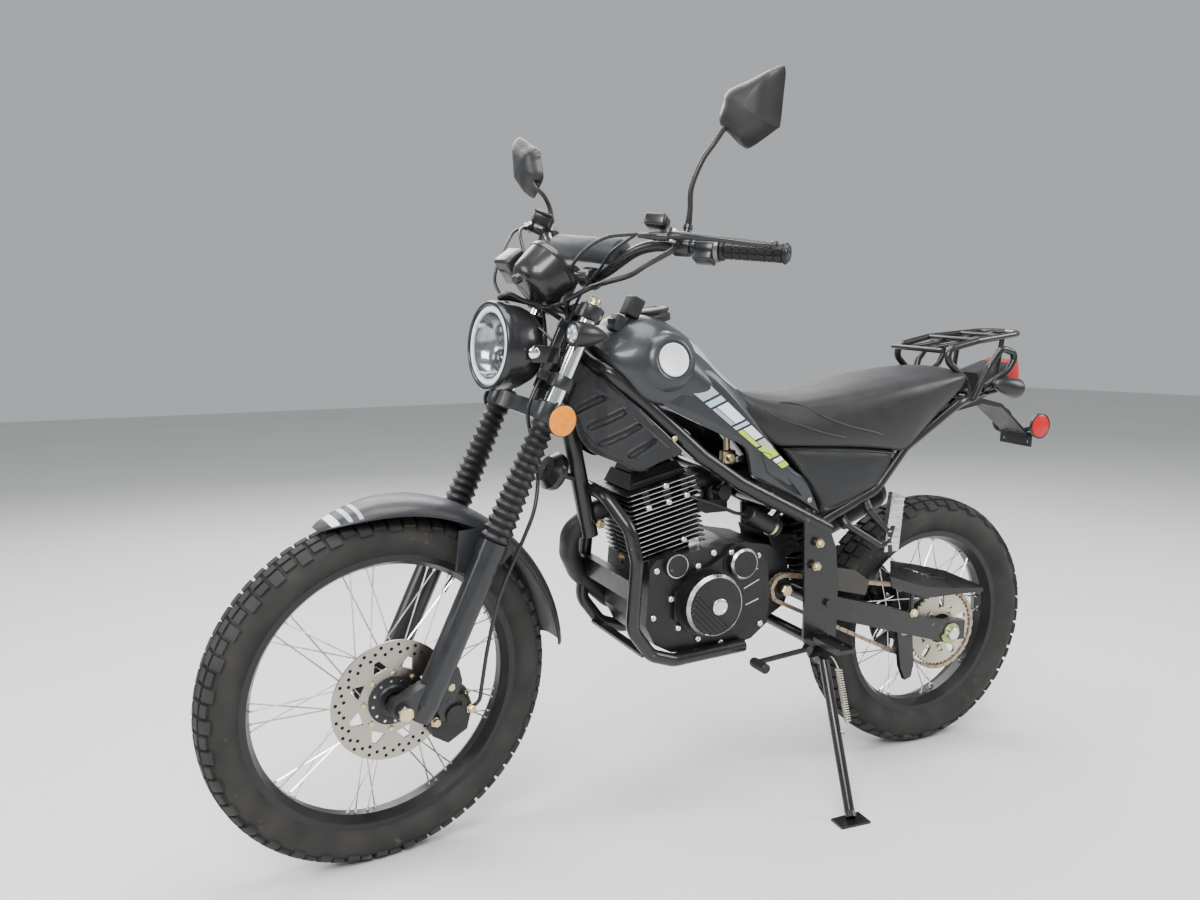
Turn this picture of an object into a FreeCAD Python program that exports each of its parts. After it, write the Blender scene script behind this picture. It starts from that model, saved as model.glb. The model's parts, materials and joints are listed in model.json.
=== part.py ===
import FreeCAD, Part
import math
import os
from FreeCAD import Vector

os.makedirs("parts", exist_ok=True)

# Sizes of the motorcycle, in millimetres and degrees
WHEELBASE = 1355.0
FRONT_RIM_RADIUS = 280.0
FRONT_TYRE_HEIGHT = 70.0
FRONT_TYRE_HALF_WIDTH = 44.0
FRONT_TYRE_RADIUS = FRONT_RIM_RADIUS + FRONT_TYRE_HEIGHT
REAR_RIM_RADIUS = 231.0
REAR_TYRE_HEIGHT = 81.0
REAR_TYRE_HALF_WIDTH = 58.0
REAR_TYRE_RADIUS = REAR_RIM_RADIUS + REAR_TYRE_HEIGHT
TYRE_TO_PIVOT = 68.0
RAKE = 24.5
AXLE_LEAD = 80.0
FORK_LEAD = 32.0
FORK_HALF_SPACING = 95.0
STEER_AT_REST = 8.3
LEAN_AT_REST = 3.6
DISC_RADIUS = 120.0
DISC_PLANE = 54.0
REAR_DISC_RADIUS = 108.0
REAR_DISC_PLANE = -46.0
AXLE_RADIUS = 7.5
RUNNING_GAP = 0.05
SPOKES_PER_WHEEL = 36
CHAIN_PITCH = 12.7
REAR_TEETH = 48
FRONT_TEETH = 15
CHAIN_PLANE = 82.0
BAR_HALF_WIDTH = 405.0

# Design frame: X = 0 at the rear axle and forwards, Y to the rider's left, Z = 0 on the floor. The rear
# axle keeps its tyre clear of the swingarm's pivot when the tyre's size changes.
PIVOT = Vector(380, 0, 436)
REAR_AXLE = Vector(PIVOT.x - TYRE_TO_PIVOT - REAR_TYRE_RADIUS, 0, REAR_TYRE_RADIUS)
FRONT_AXLE = Vector(WHEELBASE, 0, FRONT_TYRE_RADIUS)
UP = Vector(-math.sin(math.radians(RAKE)), 0, math.cos(math.radians(RAKE)))
AHEAD = Vector(math.cos(math.radians(RAKE)), 0, math.sin(math.radians(RAKE)))
STEM_FOOT = FRONT_AXLE - AHEAD * AXLE_LEAD


def stem(along, ahead=0.0, side=0.0):
    """A point given along and ahead of the steering axis."""
    return STEM_FOOT + UP * along + AHEAD * ahead + Vector(0, side, 0)


def rod(a, b, r, r_end=None):
    a, b = Vector(*a), Vector(*b)
    if r_end is None:
        return Part.makeCylinder(r, (b - a).Length, a, b - a)
    return Part.makeCone(r, r_end, (b - a).Length, a, b - a)


def block(x0, x1, y0, y1, z0, z1):
    return Part.makeBox(x1 - x0, y1 - y0, z1 - z0, Vector(x0, y0, z0))


def bend_path(points, bend):
    points = [Vector(*p) for p in points]
    edges = []
    start = points[0]
    for i in range(1, len(points) - 1):
        a = points[i] - points[i - 1]
        b = points[i + 1] - points[i]
        room = 0.46 * min(a.Length, b.Length)
        a.normalize()
        b.normalize()
        angle = math.acos(max(-1.0, min(1.0, a.dot(b))))
        if angle < 0.02:
            continue
        cut = min(bend * math.tan(angle / 2), room)
        radius = cut / math.tan(angle / 2)
        inward = b - a
        inward.normalize()
        p = points[i] - a * cut
        q = points[i] + b * cut
        middle = points[i] + inward * (radius / math.cos(angle / 2) - radius)
        edges.append(Part.makeLine(start, p))
        edges.append(Part.Arc(p, middle, q).toShape())
        start = q
    edges.append(Part.makeLine(start, points[-1]))
    return Part.Wire(edges)


def tube(points, r, bend=40.0):
    """A round bar that follows points, its corners turned with a bend radius."""
    wire = bend_path(points, bend)
    first = Vector(*points[1]) - Vector(*points[0])
    ring = Part.Wire([Part.makeCircle(r, Vector(*points[0]), first)])
    return wire.makePipeShell([ring], True, False)


def plate(outline, y0, y1):
    """An outline of (x, z) points, thick from y0 to y1."""
    corners = [Vector(x, y0, z) for x, z in outline]
    face = Part.Face(Part.makePolygon(corners + corners[:1]))
    return face.extrude(Vector(0, y1 - y0, 0))


def slot_plate(a, b, r, y0, y1):
    """A round-ended slot between two (x, z) points, as a solid from y0 to y1."""
    start, end = Vector(a[0], y0, a[1]), Vector(b[0], y0, b[1])
    across = (end - start).cross(Vector(0, 1, 0))
    across.normalize()
    corners = [start + across * r, end + across * r, end - across * r, start - across * r]
    run = Part.Face(Part.makePolygon(corners + corners[:1])).extrude(Vector(0, y1 - y0, 0))
    return join(run, rod(start, start + Vector(0, y1 - y0, 0), r), rod(end, end + Vector(0, y1 - y0, 0), r))


def wheel_turn(profile, centre):
    """A profile of (radius, y) points turned about the wheel's axle."""
    corners = [centre + Vector(0, y, r) for r, y in profile]
    face = Part.Face(Part.makePolygon(corners + corners[:1]))
    return face.revolve(centre, Vector(0, 1, 0), 360)


def turned(profile, base, direction):
    """A profile of (radius, height) points turned about any axis."""
    corners = [Vector(r, 0, h) for r, h in profile]
    face = Part.Face(Part.makePolygon(corners + corners[:1]))
    solid = face.revolve(Vector(0, 0, 0), Vector(0, 0, 1), 360)
    turn = FreeCAD.Rotation(Vector(0, 0, 1), Vector(*direction))
    solid.Placement = FreeCAD.Placement(Vector(*base), turn)
    return solid


def loft(rings, ruled=False):
    wires = []
    for ring in rings:
        corners = [Vector(*p) for p in ring]
        wires.append(Part.makePolygon(corners + corners[:1]))
    return Part.makeLoft(wires, True, ruled)


def hull_ring(x, half, low, high, waist=None, crown=0.55, sole=0.8):
    """One cross-section of a body: flat sole, upright flanks and a rounded crown."""
    if waist is None:
        waist = 0.5 * (low + high)
    rise = high - waist
    side = [
        (half * sole, low),
        (half, low + 0.35 * (waist - low)),
        (half, waist),
        (half * 0.93, waist + 0.42 * rise),
        (half * 0.74, waist + 0.76 * rise),
        (half * crown * 0.75, waist + 0.95 * rise),
    ]
    ring = [(x, y, z) for y, z in side]
    ring.append((x, 0.0, high))
    ring += [(x, -y, z) for y, z in reversed(side)]
    return ring


def aft(*points):
    """Points given from the rear axle: (x, z) or (x, y, z)."""
    return [(REAR_AXLE.x + p[0], *p[1:-1], REAR_AXLE.z + p[-1]) for p in points]


def mirror(shape):
    return shape.mirror(Vector(0, 0, 0), Vector(0, 1, 0))


def pair(shape):
    """The shape and its mirror image as two pieces."""
    return Part.makeCompound([shape, mirror(shape)])


def join(*shapes):
    if len(shapes) == 1:
        return shapes[0]
    whole = shapes[0].multiFuse(shapes[1:])
    return whole


def solids_of(shape, least=0.02):
    """The shape with crumbs smaller than a share of its largest solid dropped."""
    solids = shape.Solids
    biggest = max(s.Volume for s in solids)
    kept = [s for s in solids if s.Volume > least * biggest]
    return kept[0] if len(kept) == 1 else Part.makeCompound(kept)


# Steering local frame: X ahead of the axis, Z along it, turned with the bars at the end
FORK_FRAME = FreeCAD.Placement(STEM_FOOT, FreeCAD.Rotation(Vector(0, 1, 0), -RAKE))
TURN = FreeCAD.Placement(Vector(0, 0, 0), FreeCAD.Rotation(Vector(0, 0, 1), STEER_AT_REST))
LOCAL_AXLE = Vector(AXLE_LEAD, 0, 0)

nodes = {}
body_of = {}


def add(name, shape, body):
    nodes[name] = shape
    body_of[name] = body


# Wheels: tyre with a hollow carcass and a block tread, rim, hub and spokes
TREAD_DEPTH = 7.0
REST_DOWN = FreeCAD.Rotation(Vector(1, 0, 0), LEAN_AT_REST).multVec(Vector(0, 0, -1))
FORK_DOWN = FORK_FRAME.multiply(TURN).Rotation.inverted().multVec(REST_DOWN)


def flat_turn(profile, centre, sides, first):
    """A profile of (radius, y) points carried round the wheel's axle in flat steps."""
    rings = []
    for k in range(sides):
        turn = FreeCAD.Rotation(Vector(0, 1, 0), first + 360.0 * k / sides)
        rings.append([centre + turn.multVec(Vector(0, y, r)) for r, y in profile])
    faces = []
    for k, ring in enumerate(rings):
        ahead = rings[(k + 1) % sides]
        for i in range(len(profile)):
            j = (i + 1) % len(profile)
            faces.append(Part.Face(Part.makePolygon([ring[i], ring[j], ahead[j], ahead[i], ring[i]])))
    shell = Part.Shell(faces)
    shell.sewShape()
    return Part.Solid(shell)


def tread_block(low, high, sides, span):
    """A block of tread on the flat between two (radius, y) points: span is its share across the flat and
    its length along the wheel, both from start to end."""
    share0, share1, along0, along1 = span
    inset = math.cos(math.pi / sides)
    a, b = Vector(0, low[1], low[0] * inset), Vector(0, high[1], high[0] * inset)
    out = Vector(1, 0, 0).cross(b - a)
    out.normalize()
    if out.z < 0:
        out = out * -1
    base = [a + (b - a) * share + Vector(along, 0, 0) - out for share, along in
            ((share0, along0), (share1, along0), (share1, along1), (share0, along1))]
    return Part.Face(Part.makePolygon(base + base[:1])).extrude(out * (TREAD_DEPTH + 1))


def tyre(centre, outer, half, rim, pitches, down):
    """A tyre with one flat to a tread pitch and four blocks on each; at rest it stands on the middle of a
    left-hand block."""
    height = outer - rim
    root = outer - TREAD_DEPTH
    crown, shoulder = (root, 0.50 * half), (root - 0.17 * height, 0.93 * half)
    side = [(rim - 9, 0.27 * half), (rim - 9, 0.45 * half), (rim + 0.5 * height, half), shoulder, crown]
    cavity = [(outer - 0.30 * height, 0.55 * half)]
    ring = side + [(r, -y) for r, y in reversed(side)] + [(r, -y) for r, y in cavity] + cavity
    step = 360.0 / pitches
    first = math.degrees(math.atan2(down.x, down.z))
    carcass = flat_turn(ring, centre, pitches, first - 0.5 * step)
    pitch = 2 * root * math.sin(math.pi / pitches)
    left, right = crown, (crown[0], -crown[1])
    outer_left, outer_right = shoulder, (shoulder[0], -shoulder[1])
    TREAD = [
        # flat from, flat to, share across it from and to, share of a pitch along it from and to
        (left, right, 0.03, 0.48, -0.42, 0.20), (left, right, 0.53, 0.97, -0.20, 0.42),
        (left, outer_left, 0.16, 0.90, -0.42, 0.20), (right, outer_right, 0.16, 0.90, -0.20, 0.42),
    ]
    pattern = [tread_block(a, b, pitches, (across0, across1, along0 * pitch, along1 * pitch))
               for a, b, across0, across1, along0, along1 in TREAD]
    blocks = []
    for k in range(pitches):
        turn = FreeCAD.Rotation(Vector(0, 1, 0), first + step * k)
        for shape in pattern:
            copy = shape.copy()
            copy.Placement = FreeCAD.Placement(centre, turn)
            blocks.append(copy)
    return carcass.multiFuse(blocks)


def rim(centre, flange, half):
    profile = [
        (flange, half),
        (flange, half - 3),
        (flange - 10, half - 6),
        (flange - 12, 0.38 * half),
        (flange - 20, 0.28 * half),
        (flange - 20, -0.28 * half),
        (flange - 12, -0.38 * half),
        (flange - 10, -half + 6),
        (flange, -half + 3),
        (flange, -half),
        (flange - 14, -half + 1),
        (flange - 25, -0.34 * half),
        (flange - 25, 0.34 * half),
        (flange - 14, half - 1),
    ]
    return wheel_turn(profile, centre)


def spokes(centre, seat_radius, seat_y, rim_radius, rim_y, count):
    """Straight-pull spokes, leading and trailing ones in planes that miss each other."""
    rods = []
    per_side = count // 2
    for side in (1, -1):
        for i in range(per_side):
            lead = 1 if i % 2 else -1
            turn = 2 * math.pi * (i + (0.5 if side < 0 else 0.0)) / per_side
            sweep = math.radians(52) * lead
            y_in = side * (seat_y + 3.4 * lead)
            y_out = side * (rim_y + 0.8 * lead)
            a = centre + Vector(seat_radius * math.sin(turn), y_in, seat_radius * math.cos(turn))
            far = turn + sweep
            b = centre + Vector(rim_radius * math.sin(far), y_out, rim_radius * math.cos(far))
            rods.append(bar(a, b, 1.5))
    return rods


def bar(a, b, half):
    """A thin four-sided bar."""
    along = b - a
    length = along.Length
    along.normalize()
    side = along.cross(Vector(0, 1, 0))
    side.normalize()
    up = along.cross(side)
    corners = [a + side * half * u + up * half * v for u, v in ((1, 0), (0, 1), (-1, 0), (0, -1))]
    face = Part.Face(Part.makePolygon(corners + corners[:1]))
    return face.extrude(along * length)


bore = AXLE_RADIUS + RUNNING_GAP
front_hub = wheel_turn([
    (bore, -46), (22, -46), (22, -38), (47, -36), (47, -27), (25, -20), (25, 16), (47, 22), (47, 44),
    (62, 46), (62, DISC_PLANE - 2), (32, DISC_PLANE - 2), (32, DISC_PLANE + 6), (bore, DISC_PLANE + 6)],
    LOCAL_AXLE)
front_rim = rim(LOCAL_AXLE, FRONT_RIM_RADIUS, 29)
front_tyre = tyre(LOCAL_AXLE, FRONT_TYRE_RADIUS, FRONT_TYRE_HALF_WIDTH, FRONT_RIM_RADIUS, 36, FORK_DOWN)
disc = wheel_turn([(42, DISC_PLANE - 2), (DISC_RADIUS, DISC_PLANE - 2), (DISC_RADIUS, DISC_PLANE + 2),
                   (42, DISC_PLANE + 2)], LOCAL_AXLE)
windows = []
for i in range(8):
    window = plate([(AXLE_LEAD - 15, 66), (AXLE_LEAD + 15, 66), (AXLE_LEAD + 5, 88), (AXLE_LEAD - 5, 88)],
                   DISC_PLANE - 5, DISC_PLANE + 5)
    window.rotate(LOCAL_AXLE, Vector(0, 1, 0), 45.0 * i)
    windows.append(window)
disc = disc.cut(Part.makeCompound(windows))
front_spokes = spokes(LOCAL_AXLE, 43, 31, FRONT_RIM_RADIUS - 20, 3, SPOKES_PER_WHEEL)

rear_hub = wheel_turn([
    (bore, -52), (30, -52), (30, REAR_DISC_PLANE - 2), (REAR_DISC_RADIUS, REAR_DISC_PLANE - 2),
    (REAR_DISC_RADIUS, REAR_DISC_PLANE + 2), (44, REAR_DISC_PLANE + 2), (44, -36), (74, -34), (74, -20),
    (60, -8), (56, 18), (62, 24), (62, 32),
    (48, 40), (48, CHAIN_PLANE - 3.6), (22, CHAIN_PLANE - 3.6), (22, CHAIN_PLANE + 4), (bore, CHAIN_PLANE + 4)],
    REAR_AXLE)
disc_windows = []
for i in range(10):
    window = slot_plate((70, 10), (92, 4), 6.5, REAR_DISC_PLANE - 5, REAR_DISC_PLANE + 5)
    window.rotate(Vector(0, 0, 0), Vector(0, 1, 0), 36.0 * i)
    window.translate(REAR_AXLE)
    disc_windows.append(window)
rear_hub = rear_hub.cut(Part.makeCompound(disc_windows))
rear_rim = rim(REAR_AXLE, REAR_RIM_RADIUS, 36)
rear_tyre = tyre(REAR_AXLE, REAR_TYRE_RADIUS, REAR_TYRE_HALF_WIDTH, REAR_RIM_RADIUS, 28, REST_DOWN)
rear_spokes = spokes(REAR_AXLE, 66, 27, REAR_RIM_RADIUS - 20, 3, SPOKES_PER_WHEEL)

PITCH_RADIUS = CHAIN_PITCH / 2 / math.sin(math.pi / REAR_TEETH)
FRONT_PITCH_RADIUS = CHAIN_PITCH / 2 / math.sin(math.pi / FRONT_TEETH)
ROLLER = 4.2


def sprocket(centre, teeth, pitch_radius, y0, y1, hole):
    root = pitch_radius - 2.2 * ROLLER
    tip = pitch_radius - ROLLER - 1.2
    ring = []
    for i in range(teeth):
        for part, radius in ((0.0, root), (0.3, tip), (0.5, tip), (0.8, root)):
            turn = 2 * math.pi * (i + part) / teeth
            ring.append(centre + Vector(radius * math.sin(turn), 0, radius * math.cos(turn)))
    corners = [Vector(p.x, y0, p.z) for p in ring]
    face = Part.Face(Part.makePolygon(corners + corners[:1]))
    body = face.extrude(Vector(0, y1 - y0, 0))
    return body.cut(Part.makeCylinder(hole, y1 - y0 + 2, Vector(centre.x, y0 - 1, centre.z), Vector(0, 1, 0)))


rear_sprocket = sprocket(REAR_AXLE, REAR_TEETH, PITCH_RADIUS, CHAIN_PLANE - 3.6, CHAIN_PLANE + 3.0, 36)
holes = []
for i in range(5):
    for window in (slot_plate((0, 56), (0, 74), 8, CHAIN_PLANE - 10, CHAIN_PLANE + 10),
                   plate([(38, 33), (46, 40), (32, 50)], CHAIN_PLANE - 10, CHAIN_PLANE + 10)):
        window.rotate(Vector(0, 0, 0), Vector(0, 1, 0), 72.0 * i)
        window.translate(REAR_AXLE)
        holes.append(window)
rear_sprocket = rear_sprocket.cut(Part.makeCompound(holes))

add("front_rim", front_rim, "front_wheel")
add("front_tyre", front_tyre, "front_wheel")
add("front_hub", front_hub, "front_wheel")
add("brake_disc", disc, "front_wheel")
add("front_spokes", Part.makeCompound(front_spokes), "front_wheel")
add("rear_rim", rear_rim, "rear_wheel")
add("rear_tyre", rear_tyre, "rear_wheel")
add("rear_sprocket", rear_sprocket, "rear_wheel")
add("rear_hub", rear_hub, "rear_wheel")
add("rear_spokes", Part.makeCompound(rear_spokes), "rear_wheel")

# Front fork, in the steering's own frame
STEM_LOW = 660.0
STEM_HIGH = 800.0
FX = FORK_LEAD
FY = FORK_HALF_SPACING
TUBE_R = 17.5

fork_tubes = pair(rod((FX, FY, 250), (FX, FY, 838), TUBE_R))
add("fork_tubes", fork_tubes, "steering")


def clamp_plate(z0, z1, nose):
    outline = [(FX + 30, FY + 12), (nose, 40), (nose, -40), (FX + 30, -FY - 12), (FX - 2, -FY - 29),
               (FX - 22, -FY - 4), (-23, -20), (-23, 20), (FX - 22, FY + 4), (FX - 2, FY + 29)]
    corners = [Vector(x, y, z0) for x, y in outline]
    face = Part.Face(Part.makePolygon(corners + corners[:1]))
    return face.extrude(Vector(0, 0, z1 - z0))


clamps = join(clamp_plate(600, 630, 40), clamp_plate(812, 834, 36), rod((0, 0, 604), (0, 0, 830), 15),
              rod((FX, FY, 600), (FX, FY, 640), 26), rod((FX, -FY, 600), (FX, -FY, 640), 26))
ears = pair(join(rod((FX, FY, 664), (FX, FY, 690), 23), rod((FX, FY, 770), (FX, FY, 796), 23),
                 block(48, 118, FY - 3, FY + 3, 664, 796).cut(block(84, 130, 60, 130, 650, 690)).cut(
                     block(84, 130, 60, 130, 745, 810))))
risers = pair(join(rod((10, 42, 826), (24, 42, 890), 13), rod((28, 28, 896), (28, 56, 896), 22)))
clamps = join(clamps, *risers.Solids)
add("fork_clamps", Part.makeCompound([clamps] + ears.Solids), "steering")

slider = join(rod((FX, FY, 20), (FX, FY, 340), 27), rod((FX, FY, 320), (FX, FY, 352), 29),
              rod((FX, FY, -14), (FX, FY, 22), 21, 27),
              loft([[(FX - 20, FY - 14, 40), (FX + 22, FY - 14, 60), (FX + 22, FY + 14, 60), (FX - 20, FY + 14, 40)],
                    [(FX - 10, FY - 14, -12), (AXLE_LEAD + 20, FY - 14, 8), (AXLE_LEAD + 20, FY + 14, 8),
                     (FX - 10, FY + 14, -12)]], True),
              rod((AXLE_LEAD, FY - 15, 0), (AXLE_LEAD, FY + 15, 0), 20))
caliper_lug = plate([(FX - 20, 110), (FX - 20, 20), (-20, -10), (-32, 10), (-26, 78), (-8, 100)], FY - 12, FY - 2)
slider_left = join(slider, caliper_lug)
axle = join(rod((AXLE_LEAD, -FY - 24, 0), (AXLE_LEAD, FY + 24, 0), AXLE_RADIUS),
            rod((AXLE_LEAD, FY + 15, 0), (AXLE_LEAD, FY + 26, 0), 14),
            rod((AXLE_LEAD, -FY - 26, 0), (AXLE_LEAD, -FY - 15, 0), 14),
            rod((AXLE_LEAD, DISC_PLANE + 7, 0), (AXLE_LEAD, FY - 15, 0), 14),
            rod((AXLE_LEAD, -FY + 15, 0), (AXLE_LEAD, -47, 0), 14))
sliders = join(slider_left, mirror(slider), axle)
add("fork_sliders", sliders, "steering")

GAITER_LOW = 352.0
GAITER_HIGH = 598.0
folds = 15
profile = [(TUBE_R + 0.5, GAITER_LOW)]
step = (GAITER_HIGH - GAITER_LOW) / folds
for i in range(folds):
    wide = 31.0 - 7.0 * i / folds
    profile.append((wide - 6.5, GAITER_LOW + step * i))
    profile.append((wide, GAITER_LOW + step * (i + 0.5)))
profile.append((22, GAITER_HIGH))
profile.append((TUBE_R + 0.5, GAITER_HIGH))
gaiter = turned(profile, (FX, FY, 0), (0, 0, 1))
add("fork_gaiters", pair(gaiter), "steering")

# Brake caliper astride the disc, behind the left fork leg
caliper = plate([(-4, 66), (4, -10), (-20, -44), (-58, -50), (-86, -14), (-76, 34), (-44, 66)],
                DISC_PLANE - 18, FY - 12)
slot = wheel_turn([(20, DISC_PLANE - 7), (DISC_RADIUS + 6, DISC_PLANE - 7), (DISC_RADIUS + 6, DISC_PLANE + 7),
                   (20, DISC_PLANE + 7)], LOCAL_AXLE)
caliper = caliper.cut(slot)
caliper = join(caliper, rod((-40, FY - 12, 12), (-40, FY + 4, 12), 20))
add("brake_caliper", caliper, "steering")

# Front mudguard: a crowned strip round the tyre with legs to the fork
def guard_strip(centre, stations, thick):
    rings = []
    for clear, angle, half, drop in stations:
        radius = FRONT_TYRE_RADIUS + clear
        a = math.radians(angle)
        out = Vector(math.cos(a), 0, math.sin(a))
        outer = [(-half, radius - drop), (-0.75 * half, radius - 0.35 * drop), (-0.3 * half, radius),
                 (0.3 * half, radius), (0.75 * half, radius - 0.35 * drop), (half, radius - drop)]
        inner = [(y * (1 - thick / half), r - thick) for y, r in reversed(outer)]
        inner[0] = (half - thick, radius - drop)
        inner[-1] = (-half + thick, radius - drop)
        ring = []
        for y, r in outer + inner:
            p = centre + out * r
            ring.append((p.x, y, p.z))
        rings.append(ring)
    return loft(rings, True)


fender_stations = (
    # clear of the tyre, angle round the axle, half width, drop of its sides
    (16, 47, 30, 7), (26, 55, 50, 16), (34, 64, 60, 24), (38, 76, 64, 26), (38, 88, 66, 26),
    (38, 100, 66, 26), (38, 112, 66, 26), (38, 124, 64, 26), (40, 136, 60, 24), (42, 147, 54, 20),
)
fender = guard_strip(LOCAL_AXLE, fender_stations, 3.5)
fender_legs = pair(plate([(FX - 30, 268), (FX + 34, 268), (FX + 64, 345), (FX + 30, 362), (FX - 70, 350),
                          (FX - 60, 320)], 60, 67.9))
fender = join(fender, *fender_legs.Solids)
add("front_fender", fender, "steering")

# Handlebar with its brace pad, grips and hand controls
half_bar = [(28, 0, 896), (28, 62, 896), (36, 180, 972), (-98, BAR_HALF_WIDTH, 1030)]
bar_left = tube(half_bar, 11, 45)
brace = join(rod((34, -150, 953), (34, 150, 953), 6), rod((34, -118, 953), (34, 118, 953), 26))
handlebar = join(bar_left, mirror(bar_left), brace)
add("handlebar", handlebar, "steering")
GRIP_AXIS = Vector(-98 - 36, BAR_HALF_WIDTH - 180, 1030 - 972)
GRIP_AXIS.normalize()
BAR_TIP = Vector(-98, BAR_HALF_WIDTH, 1030)


def on_bar(distance, ahead=0.0, lift=0.0):
    """A point at a distance in from the left bar end."""
    across = GRIP_AXIS.cross(Vector(0, 0, 1))
    across.normalize()
    return BAR_TIP - GRIP_AXIS * distance + across * ahead + Vector(0, 0, lift)


grip_profile = [(11, -4), (19, -4), (20, 0), (17, 4), (16.5, 108), (21, 112), (21, 118), (11, 118)]
grip = turned(grip_profile, BAR_TIP, GRIP_AXIS * -1)
grip = join(grip, rod(BAR_TIP, BAR_TIP + GRIP_AXIS * 5, 17))
add("grips", pair(grip), "steering")


def square_on_bar(distance, length, wide, tall, ahead, lift):
    centre = on_bar(distance)
    across = GRIP_AXIS.cross(Vector(0, 0, 1))
    across.normalize()
    rise = across.cross(GRIP_AXIS)
    base = centre + across * ahead + rise * lift
    corners = []
    for u, v in ((-1, -1), (1, -1), (1, 1), (-1, 1)):
        corners.append(base + across * (0.5 * wide * u) + rise * (0.5 * tall * v) + GRIP_AXIS * (0.5 * length))
    face = Part.Face(Part.makePolygon(corners + corners[:1]))
    return face.extrude(GRIP_AXIS * -length)


switch = square_on_bar(146, 40, 38, 50, 2, -8)
perch = rod(on_bar(176), on_bar(206), 16)
lever_path = [on_bar(196, 16, 2), on_bar(196, 44, 2), on_bar(150, 56, 0), on_bar(12, 44, -2)]
lever = tube(lever_path, 5.5, 20)
ball = Part.makeSphere(8, on_bar(12, 44, -2))
pivot = rod(on_bar(196, 44, -12), on_bar(196, 44, 14), 9)
boss = rod(on_bar(186, 8, 4), on_bar(186, 8, 30), 9)
hand_left = join(switch, perch, lever, ball, pivot, boss, rod(on_bar(196, 0, 2), on_bar(196, 44, 2), 8))
hand_right = mirror(join(switch, perch, lever, ball, pivot, boss, rod(on_bar(196, 0, 2), on_bar(196, 44, 2), 8)))
reservoir = mirror(square_on_bar(196, 52, 40, 30, 26, 30))
hand_right = join(hand_right, reservoir)
add("hand_controls", Part.makeCompound([hand_left, hand_right]), "steering")


def mirror_stalk(foot, knee, joint, middle, half_wide, half_tall):
    stalk = tube([foot, knee, joint, middle + Vector(-14, 0, -10)], 5, 30)
    facing = Vector(-0.82, 0.10, -0.30)
    facing.normalize()
    wide = facing.cross(Vector(0, 0, 1))
    wide.normalize()
    tall = wide.cross(facing)
    ring = []
    for u, v in ((-1, -0.15), (-0.80, 0.75), (-0.15, 1.0), (0.75, 0.85), (1.0, 0.35), (0.85, -0.65), (0.15, -1.0),
                 (-0.6, -0.8)):
        ring.append(middle + wide * half_wide * u + tall * half_tall * v)
    back = [middle + (p - middle) * 0.72 - facing * 24 for p in ring]
    shell = loft([ring, back], True)
    return join(stalk, shell)


foot = on_bar(186, 8, 30)
mirror_left = mirror_stalk(foot, foot + Vector(22, 26, 70), foot + Vector(12, 62, 165),
                           foot + Vector(-2, 90, 210), 62, 52)
add("mirrors", pair(mirror_left), "steering")

# Headlight, instruments, indicators and side reflectors
LAMP = Vector(156, 0, 693)
LAMP_AXIS = Vector(0.94, 0, -0.342)
headlight = turned([(68, -4), (83, 0), (85, -8), (83, -54), (66, -84), (36, -102), (0, -106), (0, -16), (68, -16)],
                   LAMP, LAMP_AXIS)
lens = turned([(0, 3), (50, 1), (68, -4), (68, -16), (0, -16)], LAMP, LAMP_AXIS)
lamp_bolts = pair(rod(LAMP + LAMP_AXIS * -50 + Vector(0, 80, 0), LAMP + LAMP_AXIS * -50 + Vector(0, FY + 8, 0), 9))
add("headlight", join(headlight, *lamp_bolts.Solids), "steering")
add("headlight_lens", lens, "steering")
CAN = Vector(118, 14, 852)
CAN_AXIS = Vector(-0.50, 0, 0.866)
gauge = turned([(0, -34), (40, -34), (56, -10), (61, 34), (61, 42), (0, 42)], CAN, CAN_AXIS)
side_box = loft([[(120, -40, 826), (176, -40, 858), (150, -40, 902), (94, -40, 870)],
                 [(124, -98, 834), (170, -98, 860), (148, -98, 896), (102, -98, 870)]], True)
bracket = join(rod((96, 14, 832), (24, 14, 823), 8), rod((124, -60, 846), (48, -70, 823), 6))
add("gauge", join(gauge, side_box, bracket), "steering")
SIGNAL = Vector(78, 150, 772)
SIGNAL_AXIS = Vector(0.94, 0, -0.342)
bullet = turned([(0, 0), (22, 0), (24, -6), (22, -34), (13, -64), (0, -78)], SIGNAL, SIGNAL_AXIS)
bullet = join(bullet, rod(SIGNAL - SIGNAL_AXIS * 26, SIGNAL - SIGNAL_AXIS * 26 - Vector(0, 54, 0), 7))
front_signals = pair(bullet)
reflector = join(rod((18, FY + 34, 617), (18, FY + 42, 617), 31), rod((22, FY + 18, 617), (22, FY + 35, 617), 8))
add("front_signals", Part.makeCompound(front_signals.Solids + pair(reflector).Solids), "steering")

# Side stand: a leg on a slanted bolt, its foot flat on the floor of the leaned pose
STAND_PIVOT = Vector(392, 138, 320)
STAND_OUT = 182.0
FLOOR_SLOPE = math.tan(math.radians(LEAN_AT_REST))
stand_foot = Vector(STAND_PIVOT.x + 48, STAND_PIVOT.y + STAND_OUT, (STAND_PIVOT.y + STAND_OUT) * FLOOR_SLOPE)
folded = Vector(-340, 50, 30)
STAND_AXIS = (stand_foot - STAND_PIVOT).cross(folded)
STAND_AXIS.normalize()
STAND_SWING = math.degrees((stand_foot - STAND_PIVOT).getAngle(folded))
stand_leg = rod(STAND_PIVOT, stand_foot + Vector(-3, -9, 15), 11)
toe = [stand_foot + Vector(dx, dy, dy * FLOOR_SLOPE) for dx, dy in ((-38, -24), (34, -24), (40, 20), (-32, 24))]
floor_up = Vector(0, -math.sin(math.radians(LEAN_AT_REST)), math.cos(math.radians(LEAN_AT_REST)))
stand_pad = join(Part.Face(Part.makePolygon(toe + toe[:1])).extrude(floor_up * 5),
                 rod(stand_foot + floor_up * 10, stand_foot + Vector(-3, -9, 15) + floor_up * 3, 11))
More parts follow.
